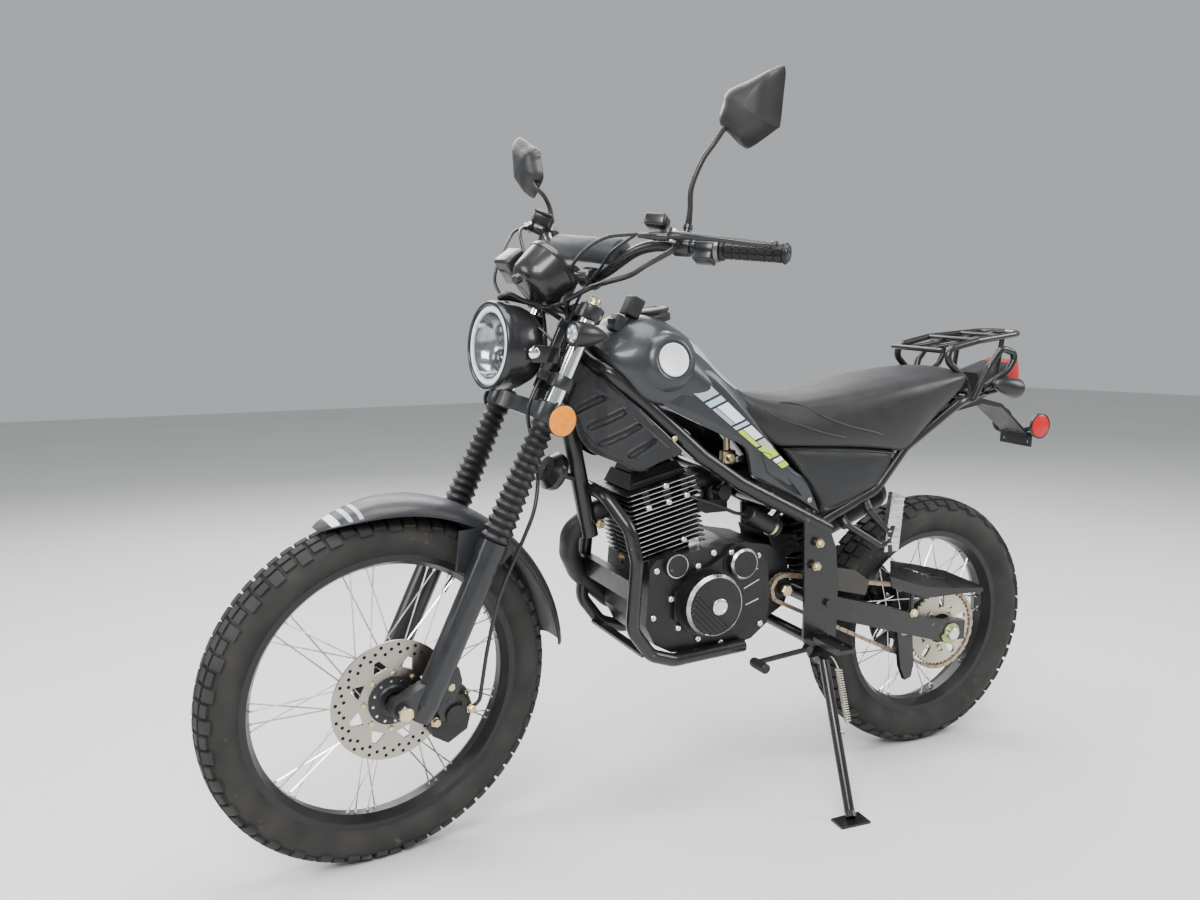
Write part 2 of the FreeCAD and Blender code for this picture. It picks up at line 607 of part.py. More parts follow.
stand_eye = rod(STAND_PIVOT - STAND_AXIS * 6, STAND_PIVOT + STAND_AXIS * 6, 16)
bolt_hole = rod(STAND_PIVOT - STAND_AXIS * 30, STAND_PIVOT + STAND_AXIS * 30, 6 + RUNNING_GAP)
stand_leg = join(stand_leg, stand_eye).cut(bolt_hole)
clear_lug = rod(STAND_PIVOT - STAND_AXIS * 30, STAND_PIVOT - STAND_AXIS * 6, 18)
clear_head = rod(STAND_PIVOT + STAND_AXIS * 6, STAND_PIVOT + STAND_AXIS * 30, 14)
stand_leg = stand_leg.cut(clear_lug).cut(clear_head)
stand_lug = join(rod(STAND_PIVOT - STAND_AXIS * 26, STAND_PIVOT - STAND_AXIS * 6.3, 15),
                 rod(STAND_PIVOT - STAND_AXIS * 20, STAND_PIVOT + STAND_AXIS * 8, 6),
                 rod(STAND_PIVOT + STAND_AXIS * 6.3, STAND_PIVOT + STAND_AXIS * 12, 10))

# Main frame: head tube, spine, side tubes, downtube, pivot plates and seat loop
SIDE = 115.0
head_tube = rod(stem(STEM_LOW), stem(STEM_HIGH), 27)
side_tube = tube([stem(762, -8, 14), stem(745, -52, 48), (903, 84, 957), (787, 100, 857), (704, 110, 783),
                  (612, SIDE, 721), (482, SIDE, 656), (378, SIDE, 602)], 16, 60)
seat_tube = tube([(398, SIDE, 618), (251, SIDE, 679), (171, SIDE, 772), (9, 108, 868), (-70, 84, 880),
                  (-122, 52, 880)], 11, 50)
downtube = rod(stem(722, 0, 0), (905, 0, 610), 18)
spine = tube([stem(770), (560, 0, 822), (171, 0, 772)], 19, 120)
cross_bars = [rod((171, -SIDE, 772), (171, SIDE, 772), 11), rod((-122, -54, 880), (-122, 54, 880), 11),
              rod((470, -SIDE, 651), (470, SIDE, 651), 13), rod((640, -112, 738), (640, 112, 738), 11),
              rod((9, -108, 868), (9, 108, 868), 9)]
pivot_plate = plate([(452, 640), (382, 606), (362, 560), (352, 470), (350, 400), (352, 318), (420, 312),
                     (440, 360), (440, 420), (446, 520)], 121, 128)
lower_bars = [rod((392, -121, 340), (392, 121, 340), 13), rod((PIVOT.x, -136, PIVOT.z), (PIVOT.x, 136, PIVOT.z), 8),
              rod((430, -121, 560), (430, 121, 560), 10)]
stand_room = rod(STAND_PIVOT - STAND_AXIS * 6.2, STAND_PIVOT + STAND_AXIS * 30, 22)
left_pivot_plate = pivot_plate.cut(stand_room)
engine_mount = pair(plate([(935, 690), (895, 600), (800, 520), (790, 556), (880, 660)], 20, 26))
frame_parts = [head_tube, side_tube, mirror(side_tube), seat_tube, mirror(seat_tube), downtube, spine,
               left_pivot_plate, mirror(pivot_plate), stand_lug] + cross_bars + lower_bars + engine_mount.Solids
main_frame = join(*frame_parts)
main_frame = main_frame.cut(rod(stem(STEM_LOW - 5), stem(STEM_HIGH + 5), 15 + RUNNING_GAP))
add("main_frame", main_frame, "frame")
covers = plate([(450, 610), (384, 576), (386, 500), (396, 448), (424, 448), (434, 500)], 128, 138)

# Engine guard of bent tube on both sides with cross plates
guard_side = tube([(906, 16, 712), (900, 62, 706), (868, 110, 643), (856, 121, 577), (866, 124, 437), (820, 122, 376),
                   (766, 120, 357), (588, 112, 362)], 14, 45)
guard = join(guard_side, mirror(guard_side), block(850, 873, -121, 121, 498, 540),
             block(820, 842, -122, 122, 374, 380), rod((906, -20, 712), (906, 20, 712), 14), rod((592, -112, 362), (592, 112, 362), 10))
add("engine_guard", guard, "frame")

# Engine: crankcase, covers, finned cylinder and head
CRANK = Vector(680, 0, 470)
CYLINDER_TILT = 13.0
CYLINDER_FOOT = Vector(742, 0, 560)
case_outline = [(815, 552), (822, 430), (800, 388), (760, 366), (640, 352), (540, 374), (500, 398), (452, 425),
                (440, 470), (450, 530), (500, 566), (600, 586), (800, 570)]
case = plate(case_outline, -95, 68)
left_case = plate([(815, 552), (822, 430), (800, 388), (760, 366), (640, 352), (560, 370), (520, 400), (515, 470),
                   (525, 540), (580, 590), (640, 588), (800, 570)], 68, 100)
cover_step = join(rod((CRANK.x, 100, CRANK.z), (CRANK.x, 112, CRANK.z), 76),
                  rod((600, 100, 548), (600, 112, 548), 44),
                  plate([(680, 396), (760, 440), (760, 500), (600, 590), (560, 560), (540, 470), (580, 400)], 100, 110))
right_cover = join(rod((CRANK.x - 50, -112, CRANK.z), (CRANK.x - 50, -94, CRANK.z), 84),
                   rod((CRANK.x + 60, -106, CRANK.z), (CRANK.x + 60, -94, CRANK.z), 62))
starter = rod((756, 40, 556), (756, 112, 556), 25)
SHAFT = Vector(470, 0, 467)
output = join(rod((SHAFT.x, 60, SHAFT.z), (SHAFT.x, 92, SHAFT.z), 9),
              rod((SHAFT.x, 87, SHAFT.z), (SHAFT.x, 96, SHAFT.z), 13))
pinion = sprocket(SHAFT, FRONT_TEETH, FRONT_PITCH_RADIUS, CHAIN_PLANE - 3.2, CHAIN_PLANE + 3.2, 8)
crankcase = join(case, left_case, cover_step, right_cover, starter, output, pinion,
                 plate([(500, 590), (420, 580), (416, 545), (470, 520)], -60, 60),
                 plate([(620, 380), (570, 380), (574, 350), (610, 350)], -80, 80))
stator = turned([(0, 0), (67, 0), (67, 26), (62, 34), (0, 36)], (CRANK.x, 112, CRANK.z), (0, 1, 0))
small = turned([(0, 0), (33, 0), (33, 13), (29, 17), (0, 17)], (600, 112, 548), (0, 1, 0))
cap = rod((CRANK.x - 6, 147, CRANK.z), (CRANK.x - 6, 152, CRANK.z), 17)
crankcase = join(crankcase, stator, cap, small)
add("crankcase", crankcase, "frame")

fins = []
FIN_PITCH = 10.5
for i in range(10):
    z = 18 + FIN_PITCH * i
    fins.append(block(-80, 80, -76, 76, z, z + 3))
for i in range(5):
    z = 18 + FIN_PITCH * (10 + i)
    fins.append(block(-86, 84, -82, 82, z, z + 3.4))
barrel = rod((0, 0, -20), (0, 0, 180), 54)
flange = block(-62, 62, -62, 62, -14, 12)
head_block = block(-62, 58, -60, 60, 118, 184)
rocker = loft([[(-70, -62, 172), (66, -62, 172), (66, 62, 172), (-70, 62, 172)],
               [(-58, -48, 200), (50, -48, 200), (50, 48, 200), (-58, 48, 200)]], True)
cylinder = join(barrel, flange, head_block, rocker, *fins)
cylinder_place = FreeCAD.Placement(CYLINDER_FOOT, FreeCAD.Rotation(Vector(0, 1, 0), CYLINDER_TILT))


def at_cylinder(shape):
    shape.Placement = cylinder_place.multiply(shape.Placement)
    return shape


add("cylinder", at_cylinder(cylinder), "frame")
port = cylinder_place.multVec(Vector(60, -8, 140))
header = tube([port, (886, -12, 658), (932, -40, 612), (918, -78, 556), (880, -118, 500), (790, -140, 420),
               (640, -146, 392), (470, -146, 420), (330, -150, 500)], 22, 45)
muffler = turned([(0, 0), (26, 0), (46, 26), (48, 40), (48, 330), (40, 350), (0, 350)], (340, -152, 494),
                 Vector(-330, -12, 120))
add("exhaust", join(header, muffler), "frame")
inlet = cylinder_place.multVec(Vector(-60, 0, 140))
carburettor = join(rod(inlet, inlet + Vector(-60, 0, 6), 20), rod((610, 0, 655), (610, 0, 745), 26),
                   block(585, 640, -26, 26, 640, 668), rod(inlet + Vector(-50, 0, 5), (500, 0, 716), 27),
                   rod((610, 26, 690), (610, 56, 690), 16), rod((620, 0, 690), (580, 0, 690), 34))
air_box = loft([[(520, -88, 730), (520, 88, 730), (520, 88, 676), (520, -88, 676)],
                [(400, -98, 756), (400, 98, 756), (400, 98, 640), (400, -98, 640)],
                [(220, -90, 756), (220, 90, 756), (220, 90, 700), (220, -90, 700)]], True)
add("intake", join(carburettor, air_box), "frame")

# Fuel tank, side scoops and tank tail panels
tank_rings = [
    hull_ring(905, 70, 964, 994, 980),
    hull_ring(886, 92, 948, 1034, 992),
    hull_ring(860, 108, 932, 1066, 994),
    hull_ring(820, 122, 906, 1076, 990),
    hull_ring(770, 128, 884, 1068, 978),
    hull_ring(705, 122, 862, 1030, 952),
    hull_ring(645, 110, 840, 982, 914),
    hull_ring(604, 96, 832, 946, 888),
]
tank = loft(tank_rings)
tank_cap = rod((776, 0, 1056), (780, 0, 1084), 44)
tunnel = plate([(970, 1042), (560, 845), (560, 700), (970, 700)], -26, 26)
tank = join(tank, tank_cap).cut(tunnel)
add("fuel_tank", tank, "frame")
scoop_bend = [(995, 45), (962, 54), (945, 61), (930, 71), (908, 90), (878, 107), (840, 118), (740, 123)]
scoop_inner = [(x, y - 15) for x, y in reversed(scoop_bend)]
bend_face = Part.Face(Part.makePolygon([Vector(x, y, 700) for x, y in scoop_bend + scoop_inner + scoop_bend[:1]]))
scoop = plate([(959, 988), (986, 939), (986, 912), (944, 866), (948, 829), (928, 799), (847, 762), (755, 797),
               (787, 829), (886, 919), (926, 959)], 0, 200).common(bend_face.extrude(Vector(0, 0, 400)))
LOUVRES = [
    # lower front end and upper rear end of each slot, (x, z)
    ((948, 891), (921, 908)), ((925, 857), (885, 881)), ((912, 821), (855, 853)), ((862, 799), (823, 823))]
for low_end, high_end in LOUVRES:
    scoop = scoop.cut(slot_plate(low_end, high_end, 4.5, 30, 140))
scoop_struts = join(rod((905, 60, 900), (905, 90, 900), 7), rod((800, 94, 858), (800, 112, 820), 7))

tail_panel = plate([(715, 866), (610, 862), (560, 822), (505, 780), (440, 690), (396, 642), (432, 656), (585, 744),
                    (690, 828)], 108, 122)
add("side_panels", Part.makeCompound(pair(join(scoop, scoop_struts)).Solids + pair(tail_panel).Solids), "frame")

# Seat, side covers, tail and lamps
seat_rings = [
    hull_ring(596, 62, 872, 938, 900, 0.6, 1.0),
    hull_ring(552, 92, 812, 912, 872, 0.7, 1.0),
    hull_ring(500, 110, 800, 893, 856, 0.75, 1.0),
    hull_ring(420, 122, 798, 892, 850, 0.8, 1.0),
    hull_ring(300, 130, 792, 905, 856, 0.8, 1.0),
    hull_ring(190, 130, 790, 922, 872, 0.8, 1.0),
    hull_ring(90, 124, 838, 934, 892, 0.8, 1.0),
    hull_ring(0, 112, 886, 940, 912, 0.75, 1.0),
    hull_ring(-32, 96, 900, 936, 916, 0.7, 1.0),
]
add("seat", loft(seat_rings, True), "frame")
side_cover = plate([(508, 786), (300, 784), (198, 760), (232, 700), (262, 690), (400, 632), (450, 696)], 98, 120)
add("side_covers", Part.makeCompound(pair(side_cover).Solids + pair(covers).Solids), "frame")
tail_fender = loft([
    [(180, -70, 752), (180, 70, 752), (180, 70, 744), (180, -70, 744)],
    [(20, -64, 842), (20, 64, 842), (20, 64, 832), (20, -64, 832)],
    [(-120, -50, 866), (-120, 50, 866), (-120, 50, 852), (-120, -50, 852)],
    [(-190, -46, 850), (-190, 46, 850), (-190, 46, 840), (-190, -46, 840)],
    [(-292, -42, 770), (-292, 42, 770), (-292, 42, 764), (-292, -42, 764)]], True)
PLATE_HOLE = Vector(-296, 38, 748)
plate_tab = block(-298, -294, -50, 50, 736, 772)
for y in (PLATE_HOLE.y, -PLATE_HOLE.y):
    plate_tab = plate_tab.cut(rod((-310, y, PLATE_HOLE.z), (-280, y, PLATE_HOLE.z), 3.25))
add("rear_fender", join(tail_fender, plate_tab, block(-296, -286, -42, 42, 762, 772)), "frame")
tail_lamp = loft([
    [(-110, -44, 876), (-110, 44, 876), (-110, 38, 926), (-110, -38, 926)],
    [(-230, -48, 886), (-230, 48, 886), (-230, 44, 956), (-230, -44, 956)],
    [(-252, -36, 900), (-252, 36, 900), (-252, 32, 946), (-252, -32, 946)]], True)
tail_lamp = join(tail_lamp, rod((-150, 0, 850), (-150, 0, 884), 14))
rear_bullet = turned([(0, 0), (22, 0), (24, 8), (22, 36), (13, 66), (0, 80)], (-148, 130, 896), (1, 0, 0.2))
rear_bullet = join(rear_bullet, rod((-120, 130, 902), (-120, 30, 872), 7))
red = join(rod((-309, 56, 790), (-309, 64, 790), 32), rod((-282, 16, 772), (-305, 57, 788), 6))
add("rear_lamps", Part.makeCompound([tail_lamp] + pair(rear_bullet).Solids + pair(red).Solids), "frame")
rack_side = tube([(-30, 104, 868), (-16, 92, 920), (60, 84, 984), (-60, 82, 1008), (-216, 60, 1022), (-236, 0, 1022)],
                 8, 40)
grab = tube([(-34, 106, 872), (-64, 118, 950), (-100, 118, 992), (-152, 116, 978), (-128, 115, 938),
             (-58, 108, 896)], 8, 22)
rack_bars = [rod((50, -84, 986), (50, 84, 986), 6), rod((-60, -82, 1008), (-60, 82, 1008), 6),
             rod((-150, -70, 1016), (-150, 70, 1016), 6), rod((50, 30, 987), (-230, 30, 1021), 5),
             rod((50, -30, 987), (-230, -30, 1021), 5), rod((-150, 70, 1016), (-132, 70, 884), 6),
             rod((-150, -70, 1016), (-132, -70, 884), 6)]
add("luggage_rack", join(rack_side, mirror(rack_side), grab, mirror(grab), *rack_bars), "frame")

# Swingarm with axle, brake plate and shock absorber
ARM_IN = 93.0
ARM_OUT = 119.0
arm = plate([(PIVOT.x + 32, PIVOT.z + 26), (PIVOT.x + 32, PIVOT.z - 26)]
            + aft((20, -22), (-46, -22), (-46, 24), (30, 32), (200, 88)), ARM_IN, ARM_OUT)
rear_caliper = join(plate(aft((52, 28), (88, 32), (112, 72), (104, 112), (60, 126), (34, 98), (44, 60)), -66, -60),
                    plate(aft((50, 64), (98, 60), (112, 88), (84, 118), (52, 112)), -72, -34))
rear_caliper = rear_caliper.cut(rod(*aft((0, REAR_DISC_PLANE - 7, 0), (0, REAR_DISC_PLANE + 7, 0)),
                                    REAR_DISC_RADIUS + 6))
swingarm = join(arm, mirror(arm), rod((PIVOT.x, -ARM_IN, PIVOT.z), (PIVOT.x, ARM_IN, PIVOT.z), 22),
                block(PIVOT.x - 46, PIVOT.x - 24, -ARM_IN, ARM_IN, PIVOT.z - 32, PIVOT.z + 16),
                rod(*aft((0, -134, 0), (0, 134, 0)), AXLE_RADIUS), rod(*aft((0, ARM_OUT, 0), (0, 130, 0)), 14),
                rod(*aft((0, -130, 0), (0, -ARM_OUT, 0)), 14), rod(*aft((0, CHAIN_PLANE + 5, 0), (0, ARM_IN, 0)), 14),
                rod(*aft((0, -ARM_IN, 0), (0, -53, 0)), 16), rear_caliper,
                rod(*aft((70, -ARM_IN, 40), (70, -60, 40)), 8))
swingarm = swingarm.cut(rod((PIVOT.x, -130, PIVOT.z), (PIVOT.x, 130, PIVOT.z), 8))
add("swingarm", swingarm, "frame")
shock_low = Vector(PIVOT.x - 35, 0, PIVOT.z + 14)
shock_high = Vector(405, 0, 655)
shock_axis = shock_high - shock_low
spring_profile = [(0, 0), (14, 0)]
for i in range(8):
    spring_profile += [(24, 30 + 17.0 * i), (33, 36 + 17.0 * i), (33, 41 + 17.0 * i), (24, 47 + 17.0 * i)]
spring_profile += [(14, 178), (14, shock_axis.Length), (0, shock_axis.Length)]
shock = turned(spring_profile, shock_low, shock_axis)
shock = join(shock, rod(shock_low + Vector(0, -14, 2), shock_low + Vector(0, 14, 2), 12),
             rod(shock_high + Vector(0, -30, 0), shock_high + Vector(0, 30, 0), 12))
add("rear_shock", shock, "frame")

# Chain run round both sprockets
def chain_ring(extra):
    """The outline of the belt that wraps both sprockets, set out by extra."""
    big = PITCH_RADIUS + extra
    little = FRONT_PITCH_RADIUS + extra
    span = SHAFT - REAR_AXLE
    span.y = 0
    tilt = math.atan2(span.z, span.x)
    lean = math.asin((big - little) / span.Length)
    outline = []
    steps = 16
    top = tilt + math.pi / 2 - lean
    low = tilt - math.pi / 2 + lean
    for i in range(steps + 1):
        a = top + (2 * math.pi - (top - low)) * i / steps
        outline.append((REAR_AXLE.x + big * math.cos(a), REAR_AXLE.z + big * math.sin(a)))
    for i in range(9):
        a = low + (top - low) * i / 8
        outline.append((SHAFT.x + little * math.cos(a), SHAFT.z + little * math.sin(a)))
    return outline


chain = plate(chain_ring(5.5), CHAIN_PLANE - 8, CHAIN_PLANE + 8).cut(
    plate(chain_ring(-ROLLER), CHAIN_PLANE - 9, CHAIN_PLANE + 9))
add("chain", chain, "frame")
# Chain guard: a top sheet over the sprocket, folded down on its outer side, with three slots
guard_rows = [
    # inner edge, fold and lower edge, each (x, y, z) from the rear axle
    aft((150, 64, 180), (200, 124, 162), (192, 125, 134)),
    aft((70, 64, 162), (92, 124, 125), (86, 125, 97)),
    aft((-20, 64, 138), (8, 124, 112), (4, 125, 96)),
    aft((-92, 104, 106), (-92, 124, 102), (-92, 125, 92)),
]
DOWN, IN = Vector(0, 0, -4), Vector(0, -4, 0)


def sheet(edges, thick):
    """A sheet through rows of edge points, each row with its own thickness beside it."""
    rings = [[Vector(*a), Vector(*b), Vector(*b) + thick, Vector(*a) + thick] for a, b in edges]
    return loft(rings, True)


chain_guard = join(sheet([row[:2] for row in guard_rows], DOWN), sheet([row[1:] for row in guard_rows], IN))
SLOTS = [
    # start and end from the axle, and how far in
    (122, 78, 80), (98, 38, 85), (64, -2, 92)]
for start, end, y in SLOTS:
    chain_guard = chain_guard.cut(block(REAR_AXLE.x + end, REAR_AXLE.x + start, y, y + 5,
                                        REAR_AXLE.z + 90, REAR_AXLE.z + 210))
guard_post = rod(*aft((120, 112, 60), (120, 112, 140)), 5)
guide = plate(aft((156, 28), (108, 14), (98, -72), (104, -100), (122, -106), (138, -72)), 96, 108)
add("chain_guards", Part.makeCompound([join(chain_guard, guard_post), guide]), "frame")

# Foot controls: riders' pegs, passenger pegs on stays, shift and brake pedals
peg = join(block(378, 424, 142, 228, 352, 361), block(388, 412, 126, 146, 350, 372))
peg_teeth = [block(378, 384, 142, 228, 360, 366), block(418, 424, 142, 228, 360, 366)]
peg = join(peg, *peg_teeth)
stay = join(tube([(337, 122, 612), (230, 136, 546), (214, 136, 600)], 8, 20),
            tube([(276, 122, 640), (226, 134, 588), (219, 136, 540)], 8, 20),
            rod((337, 108, 622), (337, 128, 606), 11), rod((276, 112, 655), (276, 128, 636), 11))
passenger = loft([[(196, 124, 540), (236, 124, 540), (236, 140, 540), (196, 140, 540)],
                  [(186, 126, 664), (220, 126, 676), (220, 138, 676), (186, 138, 664)]], True)
shift = join(rod((432, 126, 338), (432, 142, 338), 9), rod((432, 136, 338), (572, 138, 328), 6),
             rod((572, 130, 328), (572, 178, 328), 10))
brake_pedal = join(rod((430, -128, 330), (430, -150, 330), 10), rod((430, -146, 330), (560, -150, 352), 7),
                   block(552, 600, -178, -132, 350, 360))
add("passenger_pegs", Part.makeCompound([join(stay, passenger), mirror(join(stay, passenger))]), "frame")
add("foot_controls", Part.makeCompound(pair(peg).Solids + [shift, brake_pedal]), "frame")
horn = join(turned([(0, 0), (38, 0), (40, 6), (40, 16), (26, 30), (0, 32)], (985, 10, 750), (0.9, 0.1, 0.42)),
            rod((988, 10, 752), (945, 4, 736), 7))
add("horn", horn, "frame")

# Side stand, resting on the floor in the leaned pose; it folds back and up about a slanted bolt
side_stand = join(stand_leg, stand_pad)
add("side_stand", side_stand, "side_stand")

# Trim each piece by those it is fitted against, so that nothing overlaps
trims = [
    ("front_tyre", ["front_rim"]),
    ("front_spokes", ["front_rim", "front_hub"]),
    ("brake_disc", ["front_hub"]),
    ("rear_tyre", ["rear_rim"]),
    ("rear_hub", ["rear_sprocket"]),
    ("rear_spokes", ["rear_rim", "rear_hub"]),
]
body_order = {
    "steering": ["fork_tubes", "fork_sliders", "handlebar", "fork_clamps", "brake_caliper", "grips", "hand_controls",
                 "mirrors", "fork_gaiters", "front_fender", "headlight_lens", "headlight",
                 "gauge", "front_signals"],
    "frame": ["main_frame", "chain", "cylinder", "crankcase", "engine_guard", "swingarm", "intake", "exhaust",
              "rear_shock", "fuel_tank", "seat", "luggage_rack", "rear_fender", "rear_lamps", "side_covers",
              "side_panels", "chain_guards", "foot_controls", "passenger_pegs", "horn"],
}


def touches(a, b):
    p, q = a.BoundBox, b.BoundBox
    return p.intersect(q)


def trim(name, cutter):
    if not touches(nodes[name], nodes[cutter]):
        return
    shape = nodes[name].cut(nodes[cutter])
    nodes[name] = shape


for name, cutters in trims:
    for cutter in cutters:
        trim(name, cutter)
for body, order in body_order.items():
    for i, name in enumerate(order):
        for earlier in order[:i]:
            trim(name, earlier)

keep_longest = ("front_spokes", "rear_spokes")
for name in list(nodes):
    if name in keep_longest:
        biggest = max(s.Volume for s in nodes[name].Solids)
        kept = [s for s in nodes[name].Solids if s.Volume > 0.5 * biggest]
        nodes[name] = Part.makeCompound(kept)
    else:
        nodes[name] = solids_of(nodes[name])

# From the fork's frame to the design frame, bars turned as at rest
for name, body in body_of.items():
    if body in ("steering", "front_wheel"):
        moved = nodes[name].copy()
        moved.Placement = FORK_FRAME.multiply(TURN).multiply(moved.Placement)
        nodes[name] = moved


# Lean on the stand: both tyres on the floor, then the frame's origin under the whole
def lowest(shape, placement):
    moved = shape.copy()
    moved.Placement = placement.multiply(moved.Placement)
    return moved.optimalBoundingBox(True, False).ZMin


def pose(pitch, lift):
    lean = FreeCAD.Rotation(Vector(1, 0, 0), -LEAN_AT_REST)
    nod = FreeCAD.Rotation(Vector(0, 1, 0), pitch)
    return FreeCAD.Placement(Vector(0, 0, lift), lean.multiply(nod))


pitch = 0.0
for attempt in range(4):
    rear_low = lowest(nodes["rear_tyre"], pose(pitch, 0))
    front_low = lowest(nodes["front_tyre"], pose(pitch, 0))
    pitch += math.degrees(math.atan2(front_low - rear_low, WHEELBASE))
lift = -lowest(nodes["rear_tyre"], pose(pitch, 0))
placement = pose(pitch, lift)
for name in nodes:
    moved = nodes[name].copy()
    moved.Placement = placement.multiply(moved.Placement)
    nodes[name] = moved

whole = FreeCAD.BoundBox()
for name, shape in nodes.items():
    whole.add(shape.optimalBoundingBox(True, False))
shift = Vector(-0.5 * (whole.XMin + whole.XMax), -0.5 * (whole.YMin + whole.YMax), 0)
SHIFTED = FreeCAD.Placement(shift, FreeCAD.Rotation())
ROW = SHIFTED.multiply(placement)
for name, shape in nodes.items():
    moved = shape.copy()
    moved.Placement = SHIFTED.multiply(moved.Placement)
    nodes[name] = moved
    moved.exportStep("parts/" + name + ".step")
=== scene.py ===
import json
import math

import bmesh
import bpy
import numpy as np
from mathutils import Matrix


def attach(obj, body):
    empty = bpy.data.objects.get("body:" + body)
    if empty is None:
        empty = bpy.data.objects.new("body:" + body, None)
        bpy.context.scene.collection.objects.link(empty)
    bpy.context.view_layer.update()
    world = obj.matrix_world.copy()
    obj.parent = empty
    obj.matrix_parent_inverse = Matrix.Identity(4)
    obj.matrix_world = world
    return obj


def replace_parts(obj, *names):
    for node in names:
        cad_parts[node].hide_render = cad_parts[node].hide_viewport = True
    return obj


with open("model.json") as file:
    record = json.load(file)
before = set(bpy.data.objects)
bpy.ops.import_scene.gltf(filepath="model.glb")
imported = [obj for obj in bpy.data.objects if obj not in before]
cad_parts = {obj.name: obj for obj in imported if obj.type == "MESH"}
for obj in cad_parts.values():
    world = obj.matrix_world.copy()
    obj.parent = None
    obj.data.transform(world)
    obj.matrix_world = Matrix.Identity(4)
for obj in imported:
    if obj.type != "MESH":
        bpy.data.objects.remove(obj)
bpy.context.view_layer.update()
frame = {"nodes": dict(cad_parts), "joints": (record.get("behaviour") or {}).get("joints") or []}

# Camera, floor and lamps: the bike stands on a pale studio floor, seen from the left and ahead as in
# the photograph, under broad soft lamps that draw long highlights along the black paint.
FOCAL_PIXELS = 1055.0
PHOTO_WIDTH = 1200.0
EYE = (1.1393, 1.9436, 1.0233)
EYE_AZIMUTH = math.radians(25.48)
EYE_DIP = math.radians(6.15)
EYE_ROLL = math.radians(-0.80)
FLOOR_HALF = 14.0


def unit(v):
    """Vectors divided by their own length."""
    v = np.asarray(v, float)
    return v / np.linalg.norm(v, axis=-1, keepdims=True)


forward = np.array([-math.sin(EYE_AZIMUTH) * math.cos(EYE_DIP), -math.cos(EYE_AZIMUTH) * math.cos(EYE_DIP),
                    -math.sin(EYE_DIP)])
level = unit(np.cross(forward, (0, 0, 1)))
upright = np.cross(level, forward)
camera_right = math.cos(EYE_ROLL) * level + math.sin(EYE_ROLL) * upright
camera_up = math.cos(EYE_ROLL) * upright - math.sin(EYE_ROLL) * level
camera_data = bpy.data.cameras.new("camera")
camera_data.sensor_width = 36.0
camera_data.lens = camera_data.sensor_width * FOCAL_PIXELS / PHOTO_WIDTH
camera_data.clip_end = 100.0
camera = bpy.data.objects.new("camera", camera_data)
aim = Matrix(np.column_stack([camera_right, camera_up, -forward]).tolist()).to_4x4()
camera.matrix_world = Matrix.Translation(EYE) @ aim
bpy.context.scene.collection.objects.link(camera)
bpy.context.scene.camera = camera


def soft_lamp(name, place, target, size, watts):
    """A rectangular lamp at a place, its face square to the line towards a target."""
    data = bpy.data.lights.new(name, "AREA")
    data.shape = "RECTANGLE"
    data.size, data.size_y = size
    data.energy = watts
    back = unit(np.subtract(place, target))
    side = unit(np.cross((0, 0, 1), back))
    lamp = bpy.data.objects.new(name, data)
    turned_to = Matrix(np.column_stack([side, np.cross(back, side), back]).tolist()).to_4x4()
    lamp.matrix_world = Matrix.Translation(place) @ turned_to
    bpy.context.scene.collection.objects.link(lamp)


soft_lamp("key_lamp", (2.6, 3.4, 3.6), (0, 0, 0.6), (2.6, 1.8), 330)
soft_lamp("front_lamp", (4.2, -0.6, 2.4), (0.3, 0, 0.6), (2.0, 2.0), 110)
soft_lamp("rear_lamp", (-3.8, 1.8, 2.8), (-0.3, 0, 0.6), (2.0, 2.0), 130)
soft_lamp("far_lamp", (-0.5, -3.6, 3.4), (0, 0, 0.7), (4.0, 2.0), 200)
soft_lamp("top_lamp", (0.2, 0.3, 4.2), (0, 0, 0.5), (3.0, 2.2), 200)
world = bpy.data.worlds.new("studio")
world.use_nodes = True
world.node_tree.nodes["Background"].inputs[0].default_value = (0.82, 0.85, 0.88, 1)
world.node_tree.nodes["Background"].inputs[1].default_value = 0.55
bpy.context.scene.world = world


